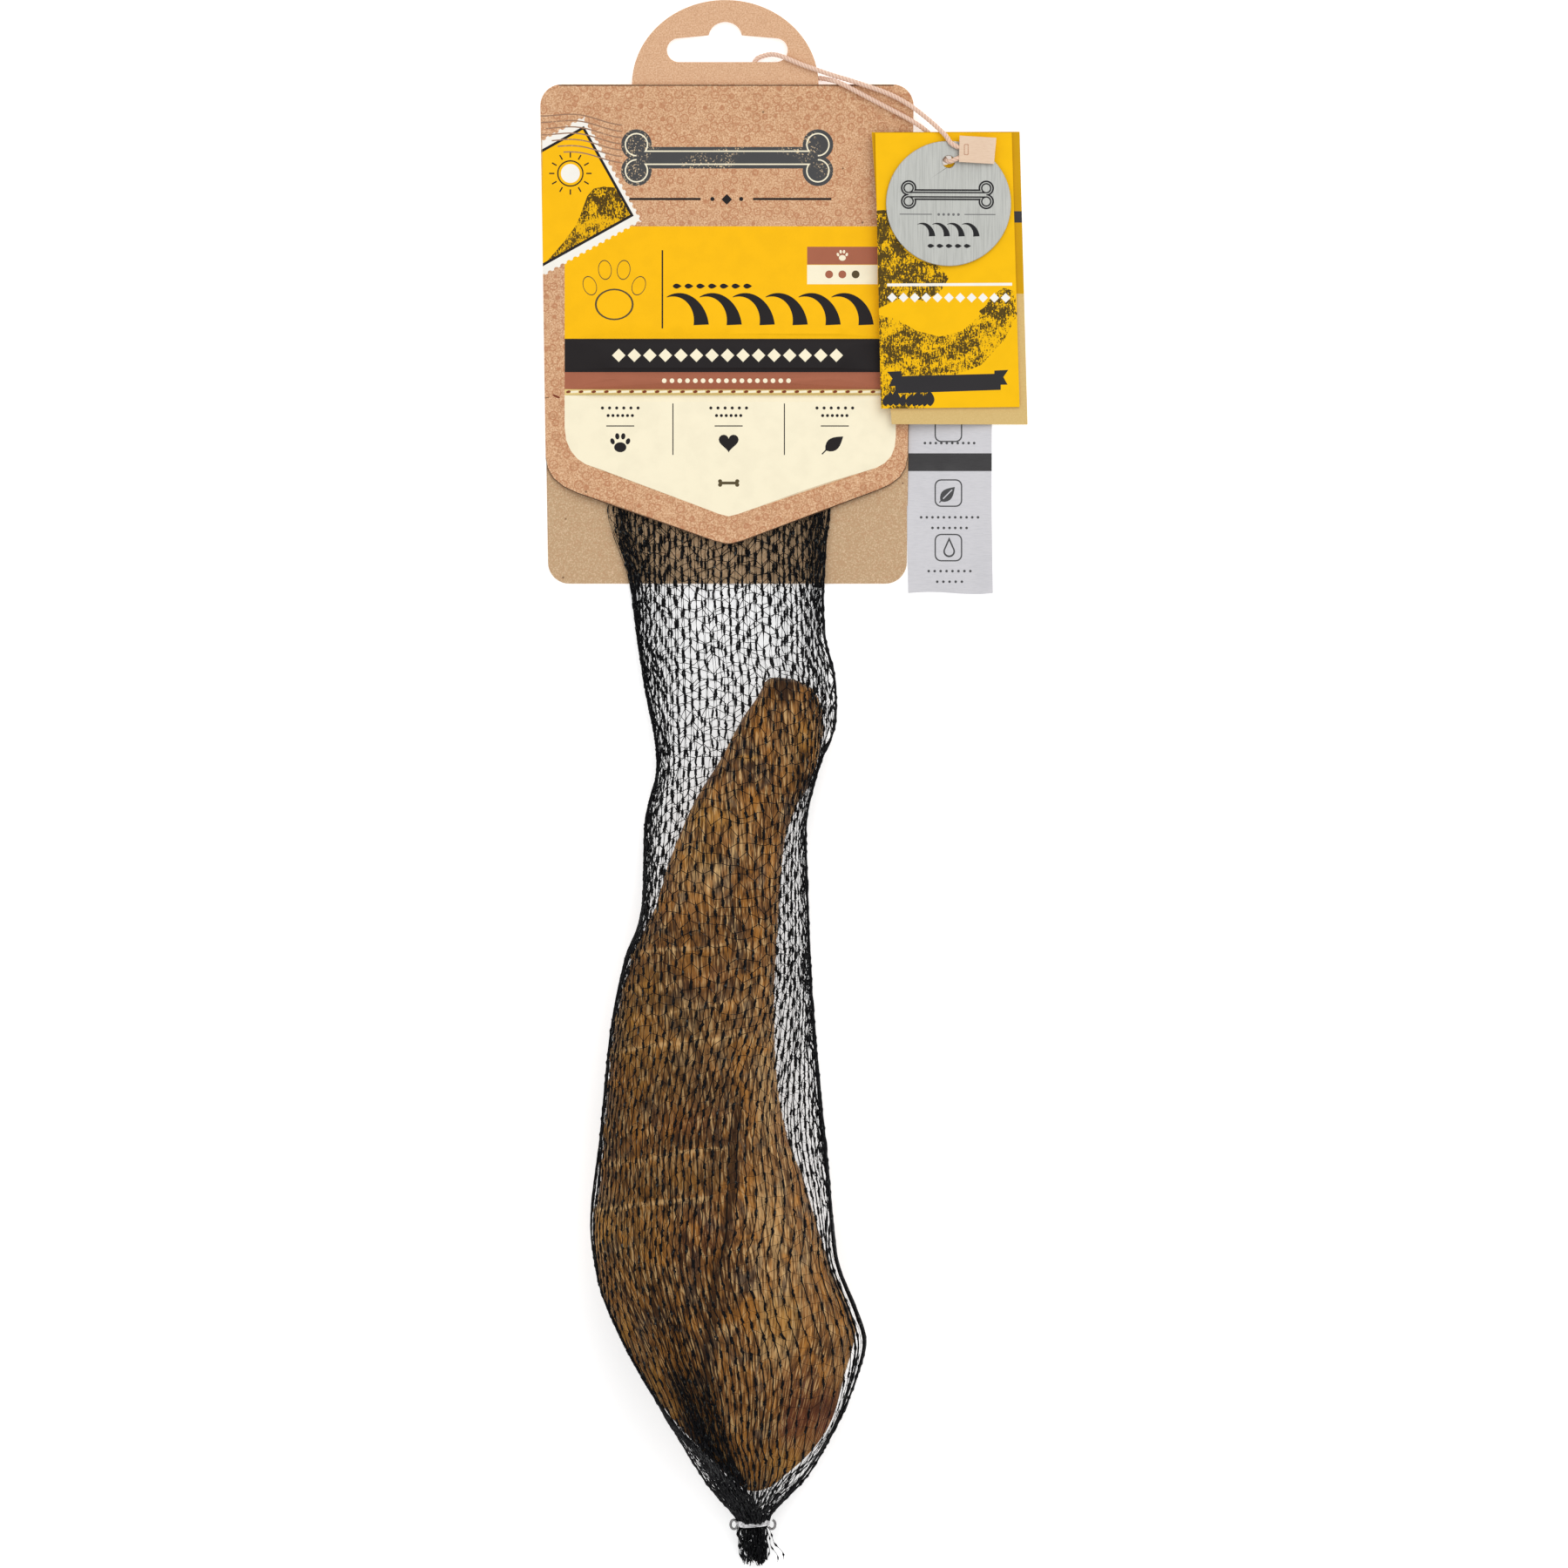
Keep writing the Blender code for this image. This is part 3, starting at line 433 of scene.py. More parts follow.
@dataclass(frozen=True)
class Yarn:
    """Black net yarn with a soft sheen and painted glints."""

    name: str = "black net yarn"
    colour: Colour = (0.0035, 0.0035, 0.0045)
    twisted: Colour = (0.014, 0.014, 0.016)
    # painted highlight: this pale fleck colour stands in for glints of light on the strands
    fleck: Colour = (0.068, 0.072, 0.070)

    def make(self) -> Material:
        """Make the yarn's material.

        Returns:
            The material.
        """
        paint = Paint(self.name, self.colour, 0.7, gloss=0.06)
        twist = paint.noise((5.0, 2.5, 5.0), turn=20.0)
        colour = paint.over(self.colour, self.twisted, twist, 0.5, 0.75)
        # painted highlight: pale flecks scattered over the yarn as glints
        colour = paint.over(colour, self.fleck, paint.noise((1.6, 0.9, 1.6)), 0.63, 0.67)
        paint.coat("Roughness", paint.ramp(twist, 0.3, 0.7, 0.62, 0.4))
        return paint.done(colour, twist, 0.06, 0.6)


@dataclass(frozen=True)
class Wire:
    """Bright clip wire, lightly scratched, with painted shade in dark streaks."""

    name: str = "clip wire"
    colour: Colour = (0.66, 0.65, 0.66)
    # painted shade: the dark colour of the streaks laid over the metal
    painted_shade: Colour = (0.12, 0.115, 0.12)

    def make(self) -> Material:
        """Make the wire's material.

        Returns:
            The material.
        """
        paint = Paint(self.name, self.colour, 0.3, 1.0)
        scratch_and_shade_streaks = paint.noise((1.0, 9.0, 1.0), 3.0)
        paint.coat("Roughness", paint.ramp(scratch_and_shade_streaks, 0.3, 0.7, 0.22, 0.45))
        # painted shade: dark streaks over the bright metal stand in for darker reflections
        paint.coat("Base Color", paint.over(self.colour, self.painted_shade, scratch_and_shade_streaks, 0.52, 0.62))
        return paint.material


@dataclass(frozen=True)
class BrushedSteel:
    """Plate brushed along Y."""

    name: str = "brushed plate"
    colour: Colour = (0.50, 0.505, 0.475)

    def make(self) -> Material:
        """Make the plate's material.

        Returns:
            The material.
        """
        paint = Paint(self.name, self.colour, 0.42, 0.75)
        lines = paint.noise((4.5, 0.12, 1.0), 4.0)
        darker = tuple(part * 0.82 for part in self.colour)
        colour = paint.over(self.colour, darker, lines, 0.4, 0.7)
        colour = paint.over(colour, darker, paint.noise((0.5, 0.02, 1.0)), 0.35, 0.7, 0.0, 0.25)
        paint.coat("Roughness", paint.ramp(lines, 0.3, 0.7, 0.34, 0.52))
        return paint.done(colour, lines, 0.015, 0.6)


@dataclass(frozen=True)
class Cotton:
    """Twisted cotton cord, with painted shade between its plies."""

    name: str = "twisted cotton"
    colour: Colour = (0.80, 0.56, 0.43)
    # painted shade: the colour laid in the hollows between the plies
    deep: Colour = (0.60, 0.36, 0.26)
    lint: Colour = (0.92, 0.76, 0.66)

    def make(self) -> Material:
        """Make the cord's material.

        Returns:
            The material.
        """
        paint = Paint(self.name, self.colour, 0.9, gloss=0.15)
        fuzz = paint.noise((6.0, 6.0, 6.0), 3.0)
        # painted shade: darker where the ply number is low, in the hollows between the plies
        colour = paint.over(self.colour, self.deep, paint.attribute("ply"), 0.1, 0.85, 1.0, 0.0)
        paint.coat("Sheen Weight", 0.3)
        return paint.done(paint.over(colour, self.lint, fuzz, 0.45, 0.7, 0.0, 0.4), fuzz, 0.06, 0.6)


@dataclass(frozen=True)
class Satin:
    """Woven ribbon with fine cross threads and painted shade of soft folds."""

    name: str
    colour: Colour
    shade: Colour

    def make(self) -> Material:
        """Make the ribbon's material.

        Returns:
            The material.
        """
        paint = Paint(self.name, self.colour, 0.5, gloss=0.25)
        # painted shade: broad soft patches darken the ribbon like shaded folds
        threads, fold_shade = paint.noise((0.6, 5.5, 1.0)), paint.noise((0.08, 0.03, 0.1))
        share = paint.plus(paint.ramp(threads, 0.4, 0.7, 0.0, 0.5), paint.ramp(fold_shade, 0.4, 0.7, 0.0, 0.4))
        paint.coat("Sheen Weight", 0.25)
        return paint.done(paint.mixed(share, self.colour, self.shade), threads, 0.03, 0.5)


def stand(name: str, data: bpy.types.ID) -> Piece:
    """Add an object to the scene.

    Args:
        name: The object's name.
        data: Its mesh, camera or lamp.

    Returns:
        The object.
    """
    made = bpy.data.objects.new(name, data)
    bpy.context.scene.collection.objects.link(made)
    return made


def new_piece(
    name: str,
    points: np.ndarray | list[Point3],
    faces: Faces,
    materials: list[Material],
    slots: list[int] | None = None,
    smooth_degrees: float = 40.0,
) -> Piece:
    """Add a mesh object.

    Args:
        name: The piece's name.
        points: Its points, in millimetres.
        faces: Rows of point numbers.
        materials: The materials that it wears.
        slots: The material number of each face.
        smooth_degrees: Edges that turn more than this stay sharp.

    Returns:
        The new object.
    """
    mesh = bpy.data.meshes.new(name)
    mesh.from_pydata((np.asarray(points, float) * MM).tolist(), [], faces)
    for material in materials:
        mesh.materials.append(material)
    if slots is not None:
        mesh.polygons.foreach_set("material_index", slots)
    mesh.shade_smooth()
    mesh.set_sharp_from_angle(angle=math.radians(smooth_degrees))
    return stand(name, mesh)


def settle(piece: Piece, slot: Slot, *nodes: str) -> Piece:
    """Let a piece ride with the chew and stand for CAD nodes.

    Args:
        piece: The finished piece.
        slot: Not used.
        nodes: The CAD nodes that it takes the place of.

    Returns:
        The same piece.
    """
    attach(piece, "root")
    if nodes:
        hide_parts(*nodes)
    LOG.info("%s: %d faces", piece.name, len(piece.data.polygons))
    return piece


def carry(piece: Piece, name: str, values: np.ndarray) -> None:
    """Store a number at each of the piece's points."""
    piece.data.attributes.new(name, "FLOAT", "POINT").data.foreach_set("value", values.astype(np.float32))


def box_of(x0: float, y0: float, x1: float, y1: float) -> Outline:
    """Return a rectangle's corners."""
    return [(x0, y0), (x1, y0), (x1, y1), (x0, y1)]


def arc(centre: Point2, radius_x: float, radius_y: float, start: float, end: float, steps: int) -> Outline:
    """Return points on an elliptical arc, angles in degrees."""
    turns = [math.radians(start + (end - start) * i / steps) for i in range(steps + 1)]
    return [(centre[0] + radius_x * math.cos(t), centre[1] + radius_y * math.sin(t)) for t in turns]


def oval(x: float, y: float, radius_x: float, radius_y: float | None = None, steps: int = 28) -> Outline:
    """Return an oval's outline."""
    return arc((x, y), radius_x, radius_x if radius_y is None else radius_y, 0, 360 - 360 / steps, steps - 1)


def turned(outline: Outline, degrees: float, centre: Point2) -> Outline:
    """Turn an outline.

    Args:
        outline: The outline.
        degrees: The angle.
        centre: The point to turn it about.

    Returns:
        The turned outline.
    """
    cosine, sine = math.cos(math.radians(degrees)), math.sin(math.radians(degrees))
    offsets = [(x - centre[0], y - centre[1]) for x, y in outline]
    return [(centre[0] + x * cosine - y * sine, centre[1] + x * sine + y * cosine) for x, y in offsets]


def shrunk(outline: Outline, share: float, centre: Point2) -> Outline:
    """Return an outline drawn in to a share of its size about a point."""
    return [tuple(c + (v - c) * share for c, v in zip(centre, point)) for point in outline]


def stroke(points: Outline, width: float, end_width: float | None = None) -> Outline:
    """Return the outline of a pen stroke.

    Args:
        points: The stroke's middle line.
        width: Its width, or its width at the start.
        end_width: Its width at the end, where that differs.

    Returns:
        The outline, anticlockwise for a stroke to the right.
    """
    left, right = [], []
    last = len(points) - 1
    for index, (x, y) in enumerate(points):
        before, after = points[max(index - 1, 0)], points[min(index + 1, last)]
        ahead = Vector((after[0] - before[0], after[1] - before[1])).normalized()
        half = (width + ((width if end_width is None else end_width) - width) * index / last) / 2
        left.append((x - ahead.y * half, y + ahead.x * half))
        right.append((x + ahead.y * half, y - ahead.x * half))
    return right + left[::-1]


@dataclass(frozen=True)
class Motif:
    """A small generic picture, by its place, its size and its turn in degrees."""

    x: float
    y: float
    size: float
    degrees: float = 0.0

    def bone(self, height: float, inset: float = 0.0) -> list[Outline]:
        """Return a bone: a bar with two round knobs at each end, as long as the motif's size.

        Args:
            height: Full height over the knobs.
            inset: How far the outlines are drawn in.

        Returns:
            The outlines of the bar and of the knobs.
        """
        knob = height * 0.27
        reach, rise, bar = self.size / 2 - knob, height / 2 - knob, height * 0.19 - inset
        marks = [box_of(self.x - reach, self.y - bar, self.x + reach, self.y + bar)]
        ends = [(i, j) for i in (-1, 1) for j in (-1, 1)]
        return marks + [oval(self.x + i * reach, self.y + j * rise, knob - inset) for i, j in ends]

    def horn(self) -> Outline:
        """Draw a curved, tapering horn, about its size tall, with its base at its place.

        Returns:
            Its outline.
        """
        centre = (self.x - self.size * 0.66, self.y + self.size * 0.06)
        middle = arc(centre, self.size * 0.72, self.size * 0.86, 0, 112, 18)
        return turned(stroke(middle, self.size * 0.44, self.size * 0.02), self.degrees, (self.x, self.y))

    def leaf(self) -> Outline:
        """Draw a pointed leaf that starts at its place.

        Returns:
            Its outline.
        """
        width, steps = self.size * 0.28, 8
        shares = [i / steps for i in range(steps + 1)]
        upper = [(self.size * share, width * math.sin(math.pi * share**0.8)) for share in shares]
        whole = upper + [(x, -y) for x, y in upper[-2:0:-1]]
        return turned([(self.x + x, self.y + y) for x, y in whole], self.degrees, (self.x, self.y))

    def heart(self) -> Outline:
        """Draw a heart about its place.

        Returns:
            Its outline.
        """
        outline, scale = [], self.size / 34
        for t in (2 * math.pi * i / 28 for i in range(28)):
            rise = 13 * math.cos(t) - 5 * math.cos(2 * t) - 2 * math.cos(3 * t) - math.cos(4 * t)
            outline.append((self.x + scale * 16 * math.sin(t) ** 3, self.y + scale * rise))
        return outline

    def paw(self) -> list[Outline]:
        """Draw a paw print: one pad and four toes.

        Returns:
            Their outlines.
        """
        marks = [oval(self.x, self.y - self.size * 0.16, self.size * 0.27, self.size * 0.22)]
        for across, up, lean in ((-0.34, 0.1, 20), (-0.13, 0.32, 6), (0.13, 0.32, -6), (0.34, 0.1, -20)):
            middle = (self.x + across * self.size, self.y + up * self.size)
            marks.append(turned(oval(*middle, self.size * 0.095, self.size * 0.14, 18), lean, middle))
        return marks

    def diamond(self) -> Outline:
        """Draw a square on its corner about its place.

        Returns:
            Its outline.
        """
        half, x, y = self.size / 2, self.x, self.y
        return turned(box_of(x - half, y - half, x + half, y + half), 45, (x, y))

    def square(self, corner: float) -> Outline:
        """Draw a square about its place.

        Args:
            corner: The radius of its round corners.

        Returns:
            Its outline.
        """
        reach, outline = self.size / 2 - corner, []
        for i, j, start in ((1, -1, -90), (1, 1, 0), (-1, 1, 90), (-1, -1, 180)):
            outline += arc((self.x + i * reach, self.y + j * reach), corner, corner, start, start + 90, 5)
        return outline


Finish = Kraft | Ink | Drawing | BrushedSteel | Satin


@dataclass
class Sheet:
    """A thin plate of paper, board, ribbon or metal, printed flat on its upper face."""

    name: str
    outline: Outline
    low: Callable[[float, float], float]
    thickness: float
    inks: dict[str, Finish]
    holes: list[Outline] = field(default_factory=list)
    grid: float = 0.0
    under: str | None = None
    marks: list[tuple[str, Outline]] = field(default_factory=list)

    def mark(self, ink: str, *outlines: Outline) -> None:
        """Print outlines in an ink, over what is there."""
        self.marks += [(ink, outline) for outline in outlines]

    def boxes(self, ink: str, corners: str) -> None:
        """Print rectangles in an ink, from a table of their lower left and upper right corners."""
        self.mark(ink, *(box_of(*row) for row in table(corners)))

    def row(self, ink: str, count: int, start: float, pitch: float, draw: Callable[[float], Outline]) -> None:
        """Print a row of outlines in an ink.

        Args:
            ink: The ink.
            count: How many there are.
            start: The x of the first.
            pitch: The step from each to the next.
            draw: Gives the outline at an x.
        """
        self.mark(ink, *(draw(start + pitch * index) for index in range(count)))

    def bend_points(self) -> Outline:
        """Spread a grid of points over the sheet, so that it can bend.

        Returns:
            The points.
        """
        if not self.grid:
            return []
        steps = [np.arange(min(v) + self.grid / 2, max(v), self.grid) for v in zip(*self.outline)]
        return [(float(x) + 0.017, float(y) + 0.013) for y in steps[1] for x in steps[0]]

    def build(self) -> Piece:
        """Build the plate, cut along every printed outline, each part wearing its ink.

        Returns:
            The new object.
        """
        flat: list[Vector] = []
        rings: list[list[int]] = []
        for loop in [self.outline, *self.holes, *(outline for _, outline in self.marks)]:
            area = sum(a[0] * b[1] - b[0] * a[1] for a, b in zip(loop, loop[1:] + loop[:1]))
            rings.append(list(range(len(flat), len(flat) + len(loop))))
            flat += [Vector(corner) for corner in (loop if area > 0 else loop[::-1])]
        flat += [Vector(point) for point in self.bend_points()]
        corners, _, triangles, _, _, owners = delaunay_2d_cdt(flat, [], rings, 0, 1e-4, True)
        order = list(self.inks)
        kept, slots = [], []
        for triangle, owner in zip(triangles, owners):
            if 0 not in owner or any(0 < i <= len(self.holes) for i in owner):
                continue
            kept.append(tuple(triangle))
            top = max(owner) - 1 - len(self.holes)
            slots.append(order.index(self.marks[top][0]) if top >= 0 else 0)
        points = [(x, y, self.low(x, y) + rise) for rise in (self.thickness, 0.0) for x, y in corners]
        count = len(corners)
        edges = {(a, b) for t in kept for a, b in zip(t, t[1:] + t[:1])}
        rim = [(b, a, a + count, b + count) for a, b in sorted(edges) if (b, a) not in edges]
        faces = kept + [tuple(i + count for i in t[::-1]) for t in kept] + rim
        slots += [order.index(self.under) if self.under else 0] * (len(kept) + len(rim))
        used = sorted({i for face in faces for i in face})
        number = {old: new for new, old in enumerate(used)}
        faces = [tuple(number[i] for i in face) for face in faces]
        materials = [ink.make() for ink in self.inks.values()]
        return new_piece(self.name, [points[i] for i in used], faces, materials, slots, 30.0)


def lofted(rows: int, count: int, closed: bool = False) -> Faces:
    """Join rings of points with quads.

    Args:
        rows: How many rings there are.
        count: How many points each ring has.
        closed: Whether the last ring is joined to the first.

    Returns:
        The faces.
    """
    quads = [(r * count, (r + 1) % rows * count, i, (i + 1) % count)
             for r in range(rows - 1 + closed) for i in range(count)]
    return [(near + i, near + j, far + j, far + i) for near, far, i, j in quads]


def upwards(points: np.ndarray) -> np.ndarray:
    """Return a direction straight up for each point."""
    return np.broadcast_to((0.0, 0.0, 1.0), points.shape)


def tubes(paths: np.ndarray, outward: np.ndarray, radii: np.ndarray, sides: int) -> Mesh:
    """Return the points and faces of many short tubes, closed at both ends.

    Args:
        paths: Centre lines, as tubes by points by three.
        outward: A direction at each point that isn't along the tube.
        radii: The radius at each point, as tubes by points.
        sides: How many sides each tube has.

    Returns:
        The points, in millimetres, and the faces.
    """
    count, steps = paths.shape[:2]
    ahead = np.gradient(paths, axis=1)
    ahead /= np.linalg.norm(ahead, axis=2, keepdims=True) + 1e-9
    side = np.cross(ahead, outward)
    side /= np.linalg.norm(side, axis=2, keepdims=True) + 1e-9
    up = np.cross(side, ahead)
    turns = 2 * np.pi * np.arange(sides) / sides
    ring = np.cos(turns)[:, None] * side[:, :, None] + np.sin(turns)[:, None] * up[:, :, None]
    points = (paths[:, :, None] + radii[:, :, None, None] * ring).reshape(-1, 3)
    near = ((np.arange(count)[:, None] * steps + np.arange(steps - 1)) * sides)[:, :, None]
    corner = np.arange(sides)
    following = (corner + 1) % sides
    quads = np.stack((near + corner, near + following, near + sides + following, near + sides + corner), -1)
    start = np.arange(count)[:, None] * steps * sides
    rows = (quads.reshape(-1, 4), start + corner[::-1], start + (steps - 1) * sides + corner)
    return points, [tuple(row) for part in rows for row in part.tolist()]


@dataclass
class Studio:
    """A pale floor, soft lights and a long lens that looks straight down."""

    lens: float = 300.0
    sensor: float = 36.0
    floor_size: float = 12.0
    room_strength: float = 0.74
    floor_glow: float = 0.42

    def camera(self) -> None:
        """Add the camera, far enough away that the frame spans the photo's width."""
        data = bpy.data.cameras.new("camera")
        data.lens = self.lens
        data.sensor_width = self.sensor
        data.clip_end = 100.0
        made = stand("camera", data)
        made.location = (0.0, 0.0, PHOTO_SPAN * MM * self.lens / self.sensor)
        bpy.context.scene.camera = made

    def floor(self) -> None:
        """Add the floor."""
        pale = (0.90, 0.90, 0.90)
        paint = Paint("studio floor", pale, 0.9)
        paint.coat("Base Color", paint.mixed(paint.noise((0.01, 0.01, 0.01), 1.0), pale, (0.92, 0.92, 0.92)))
        paint.coat("Emission Color", (1.0, 1.0, 1.0))
        paint.coat("Emission Strength", self.floor_glow)
        half = self.floor_size / 2 / MM
        corners = [(x, y, -0.05) for x, y in box_of(-half, -half, half, half)]
        new_piece("studio_floor", corners, [(0, 1, 2, 3)], [paint.material])

    def lights(self) -> None:
        """Add a white surround and two soft boxes."""
        world = bpy.data.worlds.new("white room")
        world.use_nodes = True
        room = world.node_tree.nodes["Background"]
        room.inputs["Color"].default_value = (1.0, 1.0, 1.0, 1.0)
        room.inputs["Strength"].default_value = self.room_strength
        bpy.context.scene.world = world
        bpy.context.scene.view_settings.view_transform = "Standard"
        for name, place, power in (("key_box", (0.55, 1.1, 1.5), 13.5), ("fill_box", (-1.2, -0.5, 1.6), 4.5)):
            data = bpy.data.lights.new(name, "AREA")
            data.size = 1.6
            data.energy = power
            made = stand(name, data)
            made.location = place
            made.rotation_euler = (-Vector(place)).to_track_quat("-Z", "Y").to_euler()


@dataclass
class HangCord:
    """The twisted cotton cord from the label, round the tab's strip and back."""

    diameter: float = 1.3
    spacing: float = 0.22
    plies: int = 3
    twist_length: float = 2.9
    around: int = 18
    tucked: float = 1.2
    tucked_size: float = 0.6
    route_steps: int = 24
    route: str = """45.85 167.9 4.95, 44 169 4.9, 42.6 171 4.4, 40.2 173.4 3.75, 37.1 176.1 3.25,
        33.4 178.9 3, 28.6 181.6 3.3, 23.4 183.6 3.5, 17.4 185.6 3.4, 12.5 187.1 2.9, 8.4 188.5 2.7,
        4.4 189.9 2.68, 1.3 191.2 2.78, -0.55 191.95 2.66, -2 192.4 2, -3.4 192.6 1.2, -5.2 192.3 0.74,
        -7.2 191.4 0.72, -8 189.4 0.72, -7.2 187.4 0.72, -5.1 186.6 0.72, 0 186.5 0.72, 5 186.5 0.72,
        9.7 186.3 0.76, 11.7 185.9 1.85, 13.6 185.35 3.2, 16.2 184.2 3.5, 20.6 181.9 3.32,
        25.6 179.3 2.88, 30.6 176.7 2.52, 33.8 174.9 2.34, 36.6 173.1 1.55, 38.8 171.2 0.84,
        40.1 169.2 0.72, 40.9 167.7 0.86, 41.6 166.2 1.4, 42.4 164.9 2.4, 43 164.3 3.5, 44 164.2 4.6,
        45.85 165 5.05"""

    def centre_line(self) -> np.ndarray:
        """Draw a smooth curve through the route.

        Returns:
            Evenly spaced points on it.
        """
        route = np.array(table(self.route))
        route = np.vstack((route[:1], route, route[-1:]))
        share = np.arange(self.route_steps)[:, None] / self.route_steps
        fine = []
        for a, b, c, d in zip(route, route[1:], route[2:], route[3:]):
            bend = (2 * a - 5 * b + 4 * c - d) * share**2 + (3 * b - a - 3 * c + d) * share**3
            fine.append(0.5 * (2 * b + (c - a) * share + bend))
        line = np.vstack([*fine, route[-1:]])
        reach = lengths_along(line)
        at = np.linspace(0.0, reach[-1], round(reach[-1] / self.spacing) + 1)
        return np.stack([np.interp(at, reach, line[:, k]) for k in range(3)], axis=1)

    def build(self) -> None:
        """Add the cord, with its plies twisted round its centre line."""
        line = self.centre_line()
        tuck = np.array([(self.tucked, 0.0, 0.0)])
        line = np.vstack((line[:1] + tuck, line, line[-1:] + tuck))
        ahead = np.gradient(line, axis=0)
        ahead /= np.linalg.norm(ahead, axis=1, keepdims=True)
        side = np.zeros_like(line)
        side[0] = np.cross(ahead[0], (0.0, 0.0, 1.0))
        for i in range(1, len(line)):
            side[i] = side[i - 1] - ahead[i] * (side[i - 1] @ ahead[i])
            side[i] /= np.linalg.norm(side[i])
        up = np.cross(ahead, side)
        reach = lengths_along(line)
        turns = 2 * np.pi * np.arange(self.around) / self.around
        ply = np.abs(np.cos(self.plies / 2 * (turns[None] - 2 * np.pi * reach[:, None] / self.twist_length)))
        radius = self.diameter / 2 * (0.8 + 0.22 * ply)
        radius[[0, -1]] *= self.tucked_size
        ring = np.cos(turns)[None, :, None] * side[:, None] + np.sin(turns)[None, :, None] * up[:, None]
        points = (line[:, None] + radius[..., None] * ring).reshape(-1, 3)
        first, last = range(self.around), range(len(points) - self.around, len(points))
        faces = lofted(len(line), self.around) + [tuple(first)[::-1], tuple(last)]
        piece = new_piece("twisted_cord", points, faces, [Cotton().make()], smooth_degrees=80.0)
        carry(piece, "ply", ply.ravel())
        settle(piece, Slot.CORD, "hang_cord")


@dataclass
class HeaderCard:
    """The plain back card with its hanging tab, and the printed front card."""

    back_thickness: float = 0.5
    front_thickness: float = 0.4
    gap: float = 0.3
    foot_y: float = 52.9
    top_y: float = 184.6
    corner: float = 5.6
    tab_centre: Point2 = (-15.5, 184.6)
    tab_half_width: float = 24.6
    tab_height: float = 22.3
    slot_x: Point2 = (-30.9, 1.0)
    slot_y: Point2 = (190.5, 196.8)
    bump_half_width: float = 4.4
    bump_top: float = 200.9
    head_lift: float = 1.45
    head_lift_y: Point2 = (170.0, 185.2)
    net_bulge: float = 1.6
    print_x: Point2 = (-57.9, 29.5)
    panel_ys: tuple[float, ...] = (147.2, 117.5, 108.7, 104.2, 102.6)
    hole_y: float = 103.5
    hole_pitch: float = 3.35
    stamp_size: Point2 = (31.7, 40.0)
    tooth_pitch: float = 1.92
    tooth: str = "0 0, 0.3 0, 0.42 0.38, 0.65 0.52, 0.88 0.38"
    foot_right: str = """-15.6 63.35, -14.6 63.3, -13.6 63.4, -10.6 64.2, 24.6 77.4, 28 78.9, 30.6 80.9,
        32.1 83.3, 32.6 86"""
    foot_left: str = "-62.9 86, -62.4 83.2, -60.9 80.6, -58.2 78.4, -54.6 76.7, -18.6 64.1"
    cream: str = """29.5 102.6, -57.9 102.6, -57.9 94.2, -57.5 90.8, -56.3 88, -54.6 85.9, -52.4 84.4,
        -17 71.2, -14.6 70.6, -12.2 71.2, 24.2 83.4, 26.6 84.7, 28.3 86.6, 29.2 88.9, 29.5 91.5"""
    hill: str = "28.7 2, 20.5 2, 18.8 4.5, 18 7, 18.9 9.5, 21.5 12.5, 24 15.5, 26.2 20, 28.7 27"
    grass: str = "28.7 5, 25.6 8, 24.6 13, 25.5 19, 28.7 24"

    def lift(self, y: float) -> float:
        """Return how far the card's head bends up."""
        return self.head_lift * float(smoothstep(*self.head_lift_y, y))

    def front_low(self, x: float, y: float) -> float:
        """Read the underside of the front card, which rises over the net's mouth.

        Args:
            x: The place across.
            y: The place along.

        Returns:
            Its height.
        """
        across = smoothstep(-62.5, -47.0, x) * (1.0 - smoothstep(14.0, 31.0, x))
        down = 1.0 - smoothstep(97.0, 140.0, y)
        return self.back_thickness + self.gap + self.lift(y) + self.net_bulge * float(across * down)

    def slot(self) -> Outline:
        """Draw the round-ended slot with its round bump.

        Returns:
            Its outline.
        """
        middle, radius = sum(self.slot_y) / 2, (self.slot_y[1] - self.slot_y[0]) / 2
        bump = (self.tab_centre[0], self.slot_y[1] + 0.2)
        outline = arc((self.slot_x[1] - radius, middle), radius, radius, -90, 90, 16)
        outline += arc(bump, self.bump_half_width, self.bump_top - self.slot_y[1], 8, 172, 18)
        return outline + arc((self.slot_x[0] + radius, middle), radius, radius, 90, 270, 16)

    def turn(self, x: float, y: float, start: float) -> Outline:
        """Return a round corner of the card about a point, from an angle in degrees."""
        return arc((x, y), self.corner, self.corner, start, start + 90, 10)

    def build_back(self) -> None:
        """Add the back card."""
        low, high = self.foot_y + self.corner, self.top_y - self.corner
        outline = self.turn(32.4 - self.corner, low, -90) + self.turn(34.2 - self.corner, high, 0)
        outline += arc(self.tab_centre, self.tab_half_width, self.tab_height, 0, 180, 72)
        outline += self.turn(-64.2 + self.corner, high, 90) + self.turn(-62.3 + self.corner, low, 180)
        board = Kraft("kraft back board", (0.70, 0.425, 0.255), (0.50, 0.265, 0.145), (0.83, 0.585, 0.395),
                      lower_colour=(0.525, 0.365, 0.212), grain=0.55)
        sheet = Sheet("card_back", outline, lambda x, y: self.lift(y), self.back_thickness, {"board": board},
                      [self.slot()], grid=3.0)
        settle(sheet.build(), Slot.CARD_BACK, "header_card_back")

    def front_outline(self) -> Outline:
        """Draw the front card, with round shoulders and a blunt point.

        Returns:
            Its outline.
        """
        y = self.top_y - self.corner
        shoulders = self.turn(34.2 - self.corner, y, 0) + self.turn(-64.3 + self.corner, y, 90)
        return table(self.foot_right) + shoulders + table(self.foot_left)

